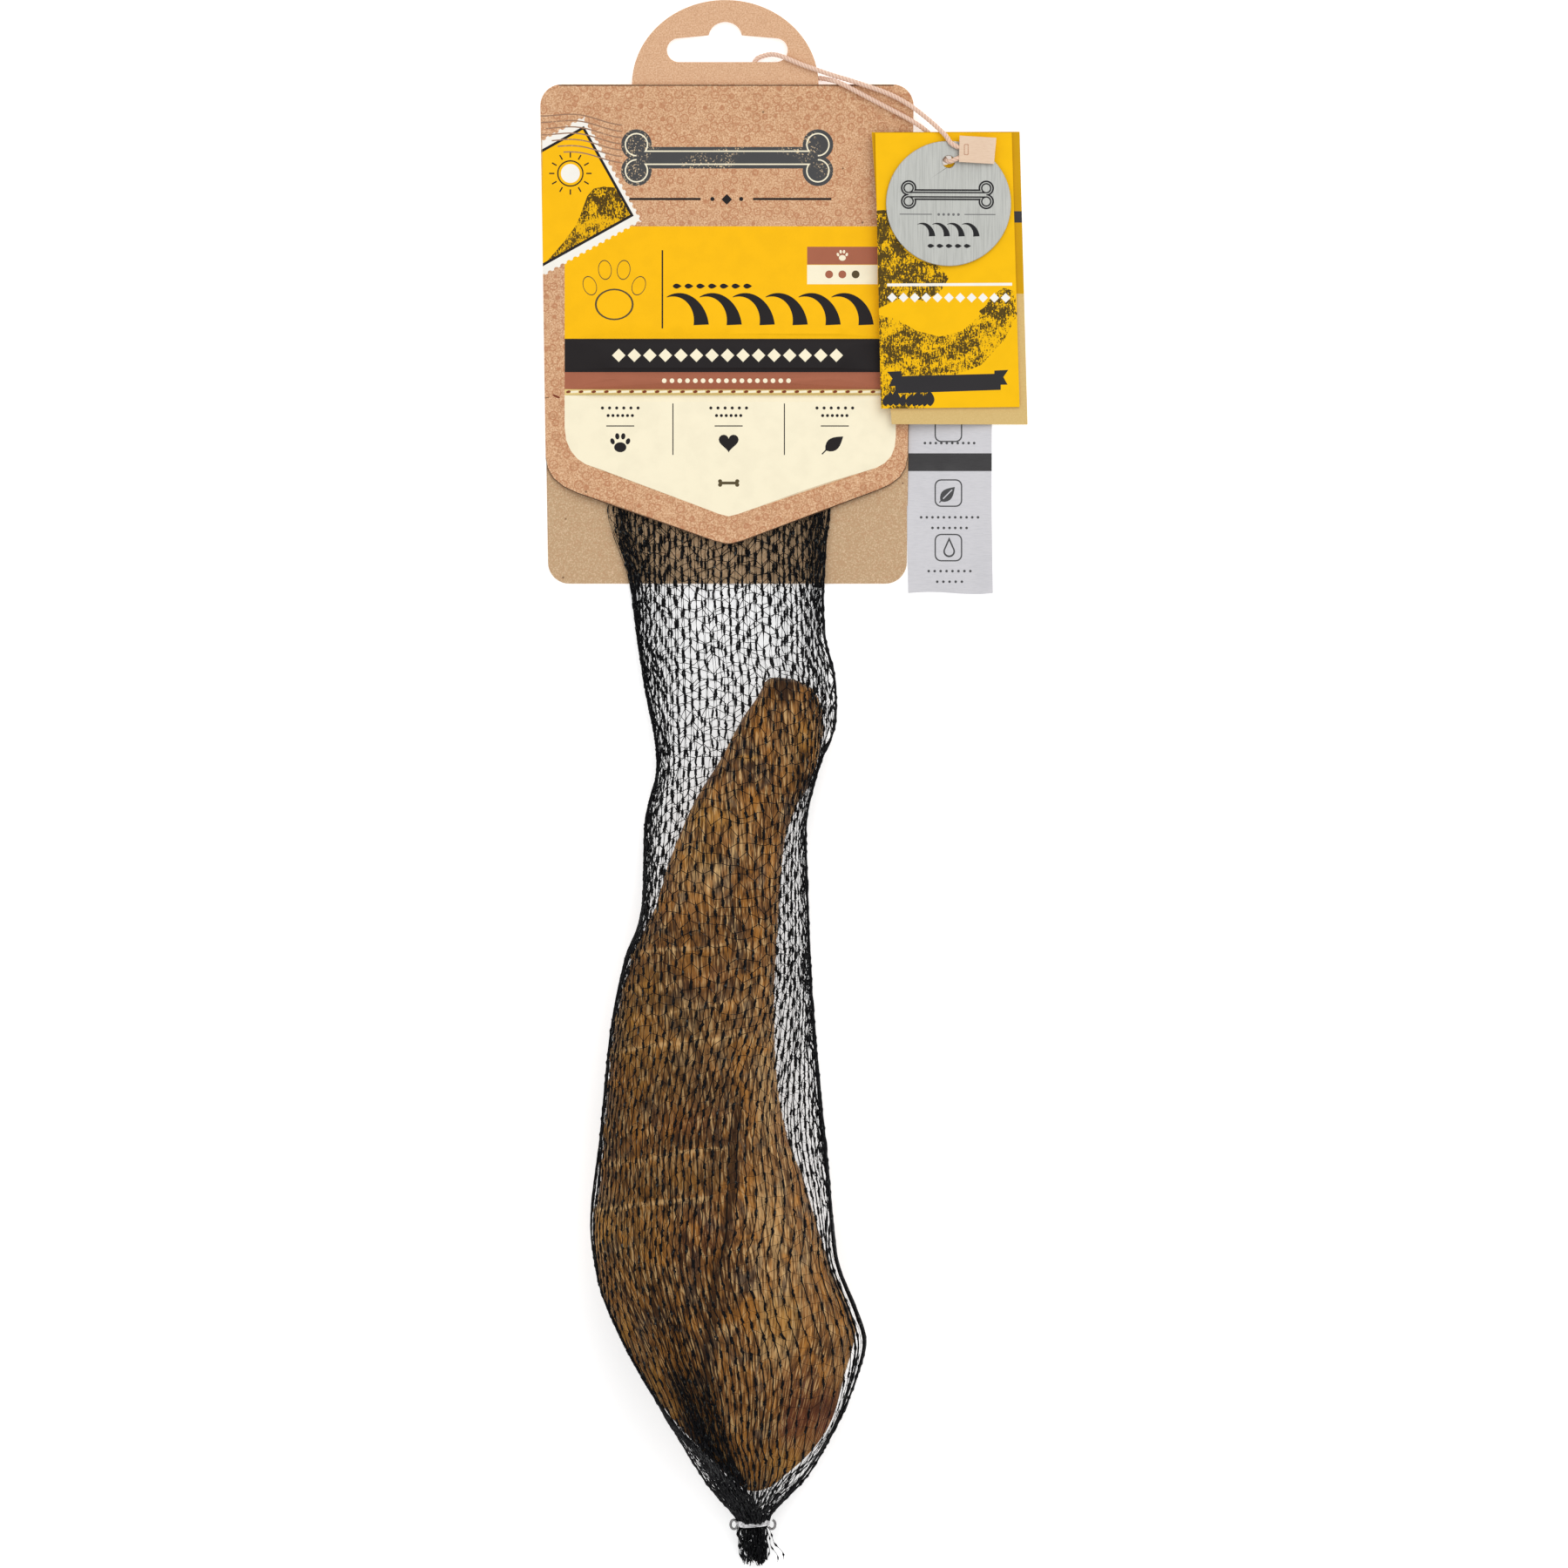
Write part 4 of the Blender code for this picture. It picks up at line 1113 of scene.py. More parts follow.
    def inks(self) -> dict[str, Finish]:
        """List the board and the inks printed on it.

        Returns:
            The finishes by name.
        """
        kraft = (0.665, 0.385, 0.215)
        return {
            "board": Kraft("kraft front board", kraft, (0.48, 0.245, 0.130), (0.80, 0.545, 0.345), 0.62),
            "yellow": Ink("yellow ink", (0.945, 0.505, 0.003)),
            "black": Ink("black ink", (0.0185, 0.0155, 0.016)),
            "brown": Ink("brown ink", (0.385, 0.130, 0.073)),
            "cream": Ink("cream ink", (0.93, 0.85, 0.635)),
            "grey": Ink("emblem ink", (0.068, 0.068, 0.070), (0.70, 0.53, 0.33), 0.9),
            "line": Ink("fine line ink", (0.10, 0.075, 0.035)),
            "post": Ink("postmark ink", (0.33, 0.19, 0.12), kraft, 0.8),
            "paper": Ink("stamp paper", (0.90, 0.87, 0.80)),
            "punch": Ink("punched edge", (0.20, 0.045, 0.02)),
            "straw": Ink("torn fibre", (0.74, 0.56, 0.22)),
            # painted shadow: a dark line along the card's cut edge and its crease
            "edge": Ink("painted shadow line", (0.085, 0.045, 0.025)),
            "hill": Drawing("drawn hills", (0.90, 0.49, 0.003), (0.035, 0.022, 0.008), 0.62),
            "grass": Drawing("drawn grass", (0.86, 0.46, 0.003), (0.055, 0.035, 0.010), 0.38),
        }

    def print_panels(self, sheet: Sheet) -> None:
        """Print the cream, yellow, black and brown panels and the perforated line.

        Args:
            sheet: The front card.
        """
        left, right = self.print_x
        sheet.mark("cream", table(self.cream))
        for ink, high, low in zip(("yellow", "black", "brown", "straw"), self.panel_ys, self.panel_ys[1:]):
            sheet.mark(ink, box_of(left, low, right, high))
        for index in range(26):
            x = left + 1.0 + index * self.hole_pitch
            sheet.mark("cream", turned(box_of(x + 0.6, 103.1, x + 2.6, 103.65), 4, (x, 103.4)))
            sheet.mark("punch", turned(oval(x, self.hole_y, 0.62, 0.36, 12), 12, (x, self.hole_y)))
        sheet.boxes("line", "-64.3 101.9 -62.1 102.05, 30 101.9 32.2 102.05")
        sheet.mark("punch", turned(oval(-60.1, 102.3, 1.1, 0.3, 12), -25, (-60.1, 102.3)))

    def print_painted_shadow_lines(self, sheet: Sheet) -> None:
        """Print painted shadow lines: a dark line along the card's point, and one along the crease at its
        head.

        Args:
            sheet: The front card.
        """
        point = table(self.foot_left) + table(self.foot_right)
        # painted shadow: thin dark lines where the card's edges cast shadow
        sheet.mark("edge", stroke([(x, y + 0.12) for x, y in point], 0.22))
        sheet.mark("edge", box_of(-59.4, self.top_y - 0.42, 29.0, self.top_y - 0.14))

    def print_emblem(self, sheet: Sheet) -> None:
        """Print the inline bone and the two rules under it.

        Args:
            sheet: The front card.
        """
        for inset, ink in ((0.0, "grey"), (0.95, "cream"), (1.3, "grey")):
            sheet.mark(ink, *Motif(-15.0, 165.3, 56.0).bone(15.0, inset))
        sheet.boxes("black", "-41.1 154.1 -22 154.7, -8.2 154.1 12.5 154.7")
        sheet.mark("black", Motif(-15.1, 154.3, 2.0).diamond())
        sheet.row("black", 2, -18.9, 7.6, lambda x: oval(x, 154.4, 0.55))

    def stamp_edge(self) -> Outline:
        """Draw the stamp's perforated edge.

        Returns:
            How far down and across the stamp each point lies.
        """
        down, across = self.stamp_size
        corners = box_of(0.0, 0.0, down, across)
        edge: Outline = []
        for start, end in zip(corners, corners[1:] + corners[:1]):
            length = math.dist(start, end)
            count = round(length / self.tooth_pitch)
            ahead = (Vector(end) - Vector(start)) / length
            inward = Vector((-ahead.y, ahead.x))
            places = [(tooth + share, depth) for tooth in range(count) for share, depth in table(self.tooth)]
            for place, depth in places:
                edge.append(tuple(Vector(start) + ahead * (place * length / count) + inward * depth))
        return edge

    def print_stamp(self, sheet: Sheet) -> None:
        """Print the slanted stamp with its hill and sun, and the postmark's waves.

        Args:
            sheet: The front card.
        """
        top, down = Vector((-52.8, 176.3)), Vector((15.4, -27.7)).normalized()
        across, width = Vector((down.y, -down.x)), self.stamp_size[1]
        window = box_of(2.3, 1.3, 29.4, width), box_of(3.0, 2.0, 28.7, width)
        areas = (self.stamp_edge(), *window, table(self.hill), table(self.grass))
        for ink, area in zip(("paper", "black", "yellow", "hill", "grass"), areas):
            sheet.mark(ink, [tuple(top + down * d + across * a) for d, a in area])
        sun = tuple(top + down * 11.5 + across * 10.5)
        x, y = sun
        for ink, radius in (("black", 3.5), ("yellow", 3.15), ("paper", 2.5)):
            sheet.mark(ink, oval(x, y, radius))
        ray = box_of(x + 4.2, y - 0.18, x + 5.6, y + 0.18)
        sheet.mark("black", *(turned(ray, 30 * index, sun) for index in range(12)))
        for index, first in enumerate((0, 0, 1, 0, 2, 3, 4)):
            xs = [-64.4 + step * 1.55 for step in range(first, 15)]
            ys = [177.0 - index * 1.65 - 0.11 * (x + 64.4) + 0.75 * math.sin((x + 60.0) * 0.28) for x in xs]
            sheet.mark("post", stroke(list(zip(xs, ys)), 0.34))

    def print_drawings(self, sheet: Sheet) -> None:
        """Print the paw, the rule, the row of horns, the badge and the columns' small drawings.

        Args:
            sheet: The front card.
        """
        for outline in Motif(-44.8, 129.6, 19.0).paw():
            middle = tuple(sum(values) / len(outline) for values in zip(*outline))
            sheet.mark("line", outline)
            sheet.mark("yellow", shrunk(outline, 0.9, middle))
        sheet.boxes("black", "-32.3 120.2 -31.9 140.9")
        sheet.row("black", 6, -22.4, 8.7, lambda x: Motif(x, 120.6, 9.2).horn())
        sheet.row("black", 7, -29.4, 3.1, lambda x: Motif(x, 131.4, 2.4).leaf())
        sheet.boxes("brown", "6.1 137.1 24.7 141.8")
        sheet.boxes("cream", "6.1 131.9 24.7 137")
        sheet.mark("cream", *Motif(15.4, 139.4, 3.4).paw())
        for ink, count, x in (("brown", 2, 11.9), ("line", 1, 18.9)):
            sheet.row(ink, count, x, 3.5, lambda x: oval(x, 134.5, 1.05, steps=18))
        sheet.row("cream", 15, -43.6, 4.1, lambda x: Motif(x, 113.1, 2.5).diamond())
        sheet.row("cream", 17, -31.6, 2.05, lambda x: oval(x, 106.4, 0.62, steps=14))
        sheet.boxes("black", "-29.44 86.8 -29.16 100.4, -0.04 86.8 0.24 100.4")
        for middle in (-43.2, -14.6, 13.4):
            sheet.mark("black", box_of(middle - 3.7, 94.3, middle + 3.7, 94.6))
            for y, half in ((99.2, 4.7), (97.2, 3.2)):
                sheet.row("black", 6, middle - half, half / 2.5, lambda x, y=y: oval(x, y, 0.42, steps=12))
        sheet.mark("black", *Motif(-43.2, 89.8, 6.0).paw(), Motif(-14.6, 90.2, 5.6).heart())
        sheet.mark("black", Motif(10.9, 88.0, 6.0, 38).leaf(), stroke(table("10 87, 11.4 88.4"), 0.35))
        sheet.mark("line", *Motif(-14.6, 79.4, 5.6).bone(2.0))

    def build_front(self) -> None:
        """Add the printed front card."""
        sheet = Sheet("card_front", self.front_outline(), self.front_low, self.front_thickness, self.inks(),
                      grid=3.0, under="board")
        self.print_panels(sheet)
        self.print_painted_shadow_lines(sheet)
        self.print_emblem(sheet)
        self.print_stamp(sheet)
        self.print_drawings(sheet)
        settle(sheet.build(), Slot.CARD_FRONT, "header_card_front")


@dataclass
class HornShape:
    """The horn's sizes, and the sections that both the horn and the net over it follow.

    A row of its growth rings holds a ring's y and its size, and a row of most curves y and a value.
    """

    tip_y: float = 28.7
    groove_half_width: float = 0.17
    ring_size: float = 0.8
    ring_rise: float = 1.6
    ring_lean: float = 0.16
    ring_sag: float = 0.7
    rim_inset: float = 0.7
    rim_back_rise: float = 20.0
    base_start: float = -118.0
    fullness: float = 0.92
    growth_rings: str = """-44.5 0.95, -53.5 0.6, -61.5 0.8, -70 1, -79 0.6, -91.5 0.75, -99.3 1,
        -111.6 1.1, -115.6 0.7"""
    left: Curve = curve("""28 -4.4, 22.9 -7, 17.6 -10.7, 6.1 -16.9, -3.1 -22.7, -11.2 -26.6, -21.7 -30.7,
        -32.3 -33.9, -42.9 -39.3, -58.5 -43.8, -69.1 -45.7, -80 -46.7, -92.3 -47.8, -104.1 -48.6,
        -115.8 -50.1, -127.5 -49""")
    right: Curve = curve("""28 6.2, 19.7 9.9, 15.1 10.4, 7.9 9.2, -0.8 6.3, -5.9 3.3, -16.4 0.1, -37.6 -1.5,
        -58.5 -2.4, -69.1 -2.2, -80.6 -1.3, -92.3 1, -104.1 5.2, -115.8 8.6, -127.5 12.6, -139.3 17.6,
        -143.4 19""")
    thickness: Curve = curve("""28 15, 22 17, 5 20, -25 24, -60 29, -95 34.5, -125 38.5, -145 36.5, -168 28,
        -187 18""")
    underside: Curve = curve("28 3, 0 2.3, -40 2, -90 1.7, -130 1.5, -187 1.8")
    slope: Curve = curve("28 -0.16, 10 0, -20 0.2, -45 0.3, -118 0.3")
    groove: Curve = curve("""28 0.2, -22 0.3, -68 0.6, -92 0.5, -107 0.35, -124 0.12, -139 -0.1, -165 -0.3,
        -187 -0.3""")
    groove_depth: Curve = curve("28 0, 0 0.5, -40 1.2, -70 1.8, -110 2.4, -140 1.9, -165 0.8, -187 0.2")
    rim: Curve = curve("""-49 -127.5, -47.6 -133.5, -45 -139.3, -40.2 -149.6, -35.2 -158.2, -30.4 -165.2,
        -25 -171.6, -20 -176.8, -12.5 -184, -8.2 -186.4, -4 -185.4, 0.3 -182, 6.4 -176.5, 10.7 -170.8,
        13.3 -165.4, 16.1 -154.7, 17.9 -148.9, 19 -143.4""")

    def middle(self, y: np.ndarray) -> Pair:
        """Return the middle of the horn's section at y."""
        return (self.left(y) + self.right(y)) / 2, self.underside(y) + self.thickness(y) / 2

    def half_width(self, y: np.ndarray) -> np.ndarray:
        """Return half of the horn's width at y."""
        return (self.right(y) - self.left(y)) / 2

    def section(self, y: np.ndarray, share_x: np.ndarray, share_z: np.ndarray, shrink: float = 0.0) -> Pair:
        """Return points on the horn's sections.

        Args:
            y: Where the sections are.
            share_x: The section's cosine.
            share_z: The section's sine.
            shrink: How far inside the surface, with no groove where it isn't 0.

        Returns:
            The points' x and z.
        """
        centre_x, centre_z = self.middle(y)
        half_height = self.thickness(y) / 2 - shrink
        z = centre_z + half_height * np.sign(share_z) * np.abs(share_z) ** self.fullness
        if not shrink:
            offset = (share_x - self.groove(y)) / self.groove_half_width
            z = z - np.sign(share_z) * self.groove_depth(y) * np.exp(-offset * offset) * np.abs(share_z)
        return centre_x + (self.half_width(y) - shrink) * share_x, z

    def tilted(self, station: float, share_x: np.ndarray) -> np.ndarray:
        """Return the y of each point of the ring at a station, which leans across the horn."""
        at = np.full(share_x.shape, station)
        return at + self.slope(at) * self.half_width(at) * (share_x + 1.0)

    def ring_relief(self, x: np.ndarray, y: np.ndarray, share_x: np.ndarray) -> np.ndarray:
        """Read the growth rings' relief.

        Args:
            x: Places across.
            y: Places along.
            share_x: The section's cosine there.

        Returns:
            The relief, from about -0.4 in a hollow to 0.6 on a ridge.
        """
        across = (share_x + 1.0) / 2
        station = y - self.ring_lean * (x - self.left(y)) + self.ring_sag * np.sin(math.pi * across)
        relief = np.zeros_like(station)
        for index, (ring, size) in enumerate(table(self.growth_rings)):
            offset = station - ring - 0.5 * np.sin(9.0 * across + 1.7 * index)
            width = self.ring_rise * np.where(offset > 0, 0.5, 1.0)
            relief = relief + size * np.exp(-((offset / width) ** 2))
        side = 1.0 - 0.85 * smoothstep(-0.2, 0.15, share_x - self.groove(y))
        return side * (relief - 0.4) * smoothstep(-34.0, -42.0, y) * smoothstep(-124.0, -114.0, y)

    def rim_y(self, share_x: np.ndarray, share_z: np.ndarray) -> np.ndarray:
        """Read where the horn's open base is cut, as a tongue that is shorter underneath.

        Args:
            share_x: The section's cosine.
            share_z: The section's sine.

        Returns:
            The y of the cut.
        """
        low, high = self.rim.at[0], self.rim.at[-1]
        x = (low + high) / 2 + (high - low) / 2 * share_x
        return self.rim(x) + self.rim_inset + self.rim_back_rise * np.maximum(-share_z, 0.0)


@dataclass
class Horn:
    """The goat horn: a ringed, grooved sheath with a blunt tip and a hollow, cut base.

    A row of its mottles holds x, y, the reach in x, the reach in y and the strength. Some tan mottles are
    painted highlight and many dark ones painted shade.
    """

    shape: HornShape
    around: int = 160
    row_pitch: float = 0.8
    first_y: float = 26.8
    base_rows: int = 60
    hollow_rows: int = 26
    hollow_end: float = -66.0
    wall: float = 3.4
    wall_growth: float = 3.0
    dome_rows: int = 10
    dome_half_height: float = 7.3
    shaded_groove_half_width: float = 1.35
    mottles: dict[Tint, str] = field(default_factory=lambda: {
        Tint.RED: """-36.5 -48.5 7 8 0.5, -27 -88 14 6 0.5, 10.4 -164.5 11 6.5 1.1, -20 -52 12 6 0.45,
            5 -158 12 10 0.5, -22 -120 14 14 0.4, 6.5 -168 9 8 1""",
        # painted highlight: the patches at -2.4 -142.5 and 3.5 -131 paint the highlight on the right lobe;
        # the rest are paler patches
        Tint.TAN: """-2.4 -142.5 5 12 1, -3.6 -115 6 16 0.8, -4.7 -78 4.5 22 0.6, -22 -24 8 9 0.5,
            -35.8 -66.6 9 5 0.5, -38 -43.6 4 5 0.6, -46 -111 5 5 0.6, 3.5 -131 6 18 0.4, 2 8 4 10 0.5,
            -28 -99 16 3 0.5, -12 -12 5 12 0.4, -18 -66 26 26 0.34""",
        # painted shade: the thin rows near y -54, -78, -93 and -111 darken ring hollows, and others darken a
        # crease by the tip, the tip's right side and the horn beside the pleats; the rest are darker patches
        Tint.DARK: """-34 -140 7 16 0.5, -23 -93.5 16 2.4 0.5, -21 -111 12 2.6 0.45, -30 -77.5 14 2.2 0.4,
            -26 -54.5 14 2 0.4, 4.5 -1 2.5 12 0.75, 0 25.6 3.6 4.6 1.1, -14 -2 5 3 0.4,
            -8.4 4.7 2.4 1.1 1.1, 8.6 21 3 1.6 0.6, 11 -163 9 4.5 0.55, -24 -170 5 12 0.8,
            -28 -157 3 9 0.6, -20 -128 9 14 0.42, -18 -36 10 8 0.4""",
        Tint.STRAW: """-9.6 6.9 2.6 0.8 1.1, -33.5 -155.7 1.5 7 0.9, -28.6 -164 1.5 6 0.9,
            -41.5 -142.7 1.8 7 0.7, -47.3 -72 1.5 9 0.6, 0.5 -178.6 6 5 0.7, 6 -171 5 5 0.5,
            -46.5 -90 1.6 5 0.6, 5 12 3 7 0.6, -36.5 -52 4.5 6 0.8, -38.5 -63 5 6 0.8,
            -40.5 -72 4.5 4 0.75, -48 -116.5 3.5 6 0.9, -20 -9 7 5 0.6, -22.5 -19 8 5 0.5,
            -28 -103.5 14 4 0.5, -1.5 -140 6 7 0.7, -37 -66 16 30 0.42, -38 -116 14 22 0.4""",
    })
    # painted shade: where the dark line along the horn's long groove runs
    shaded_groove: Curve = curve("-60 -10.5, -86 -12.5, -109.5 -13.7, -129.1 -17.4, -155 -20.4, -165 -20.8")
    gather: Curve = curve("-118 1, -135 0.92, -150 0.78, -170 0.56, -187 0.36")

    def dome(self, cosine: np.ndarray, sine: np.ndarray) -> list[np.ndarray]:
        """Build the rows of the blunt tip.

        Args:
            cosine: The cosine of each point's turn.
            sine: The sine of each point's turn.

        Returns:
            The rows, from its middle outwards.
        """
        tip = np.array(self.shape.tip_y)
        centre_x, centre_z = self.shape.middle(tip)
        rows = []
        for turn in (math.pi / 2 * step / self.dome_rows for step in range(1, self.dome_rows)):
            share = math.sin(turn)
            x = centre_x + share * self.shape.half_width(tip) * cosine
            y = tip - 0.9 * (1.0 + share * cosine) - 1.5 * (1.0 - math.cos(turn))
            rows.append(np.stack((x, y, centre_z + share * self.dome_half_height * sine), 1))
        return rows

    @staticmethod
    def unrolled(rings: np.ndarray) -> np.ndarray:
        """Return places across the horn measured along its skin from the crown.

        Args:
            rings: The horn's rings, as rings by points by three.

        Returns:
            The place of each point, with the crown at its own x.
        """
        quarter = rings.shape[1] // 4
        paces = np.linalg.norm(np.diff(np.roll(rings, quarter, axis=1), axis=1), axis=2)
        reach = np.pad(np.cumsum(paces, axis=1), ((0, 0), (1, 0)))
        from_crown = np.roll(reach[:, [2 * quarter]] - reach, -quarter, axis=1)
        return rings[:, [quarter], 0] + from_crown

    def rows(self) -> tuple[list[np.ndarray], list[np.ndarray]]:
        """Build the rows of the horn's skin, from its tip into its hollow.

        Returns:
            The rows, and how high each of their points is on a growth ring.
        """
        shape = self.shape
        turns = 2 * np.pi * np.arange(self.around) / self.around
        cosine, sine = np.cos(turns), np.sin(turns)
        rows = self.dome(cosine, sine)
        rings = [np.zeros(self.around) for _ in rows]
        for station in np.arange(self.first_y, shape.base_start, -self.row_pitch):
            y = shape.tilted(station, cosine)
            x, z = shape.section(y, cosine, sine)
            centre_x, centre_z = shape.middle(y)
            relief = shape.ring_relief(x, y, cosine)
            wrinkle = 0.10 * np.sin(station * 2.1 + 3.0 * cosine) + 0.07 * np.sin(station * 3.7 + 5.0 * sine)
            lift = shape.ring_size * relief + (wrinkle - 0.17) * smoothstep(10.0, -40.0, station)
            scale = 1.0 + lift / np.hypot(x - centre_x, z - centre_z)
            x, z = centre_x + (x - centre_x) * scale, centre_z + (z - centre_z) * scale
            rows.append(np.stack((x, y, z), 1))
            rings.append(relief + 0.4)
        start, rim = shape.tilted(shape.base_start, cosine), shape.rim_y(cosine, sine)
        for share in (step / self.base_rows for step in range(1, self.base_rows + 1)):
            y = start + (rim - start) * share
            x, z = shape.section(y, cosine, sine)
            rows.append(np.stack((x, y, z), 1))
            rings.append(0.42 + 0.12 * np.sin(y * 1.3 + cosine))
        for share in (step / self.hollow_rows for step in range(self.hollow_rows + 1)):
            y = rim + (self.hollow_end - rim) * share
            x, z = shape.section(y, cosine, sine, self.wall + self.wall_growth * share)
            if share == 1.0:
                centre_x, centre_z = shape.middle(y)
                x, z = (x + centre_x) / 2, (z + centre_z) / 2
            rows.append(np.stack((x, y, z), 1))
            rings.append(np.full(self.around, 0.3))
        return rows, rings

    def marking(self, tint: Tint, x: np.ndarray, y: np.ndarray) -> np.ndarray:
        """Read a marking on the horn.

        Args:
            tint: Which marking.
            x: Places across.
            y: Places along.

        Returns:
            How strongly it shows at each place.
        """
        weights = [most * np.exp(-(((x - across) / reach_x) ** 2) - ((y - along) / reach_y) ** 2)
                   for across, along, reach_x, reach_y, most in table(self.mottles[tint])]
        if tint is Tint.DARK:
            # painted shade: a dark line along the horn's long groove
            off_shaded_groove = (x - self.shaded_groove(y) - 0.5 * np.sin(y * 0.35)) / self.shaded_groove_half_width
            ends = smoothstep(-70.0, -90.0, y) * smoothstep(-168.0, -158.0, y)
            weights.append(1.1 * np.exp(-(off_shaded_groove**2)) * ends)
        return np.max(weights, axis=0)

    def build(self) -> None:
        """Add the horn."""
        rows, rings = self.rows()
        count, last = self.around, (len(rows) - 1) * self.around
        tip, end = len(rows) * count, len(rows) * count + 1
        faces = lofted(len(rows), count)
        faces += [((i + 1) % count, i, tip) for i in range(count)]
        faces += [(last + i, last + (i + 1) % count, end) for i in range(count)]
        points = np.vstack((*rows, rows[0].mean(0), rows[-1].mean(0)))
        piece = new_piece("horn_sheath", points, [face[::-1] for face in faces], [Keratin().make()],
                          smooth_degrees=60.0)
        carry(piece, "ring", np.concatenate((*rings, [0.5, 0.5])))
        across, along = points[:, 0], points[:, 1]
        lane = self.unrolled(np.array(rows)).ravel()
        lane = np.concatenate((lane, [lane[:count].mean(), lane[-count:].mean()]))
        carry(piece, "lane", -8.0 + (lane + 8.0) / self.gather(along) + 0.06 * along)
        carry(piece, "reach", along)
        for tint in Tint:
            carry(piece, tint.value, self.marking(tint, across, along))
        settle(piece, Slot.HORN, "horn")


@dataclass(frozen=True)
class SideWales:
    """The wales that bunch along one side edge of the flattened sleeve.

    Places round the sleeve are shares of the way round.
    """

    edge: float
    band: Curve
    inward: float
    slack_y: Point2
    taut_radius: float
    seats: Point2
    thinned: float
    slack_bead: float
    worn: float
    held_radius: float


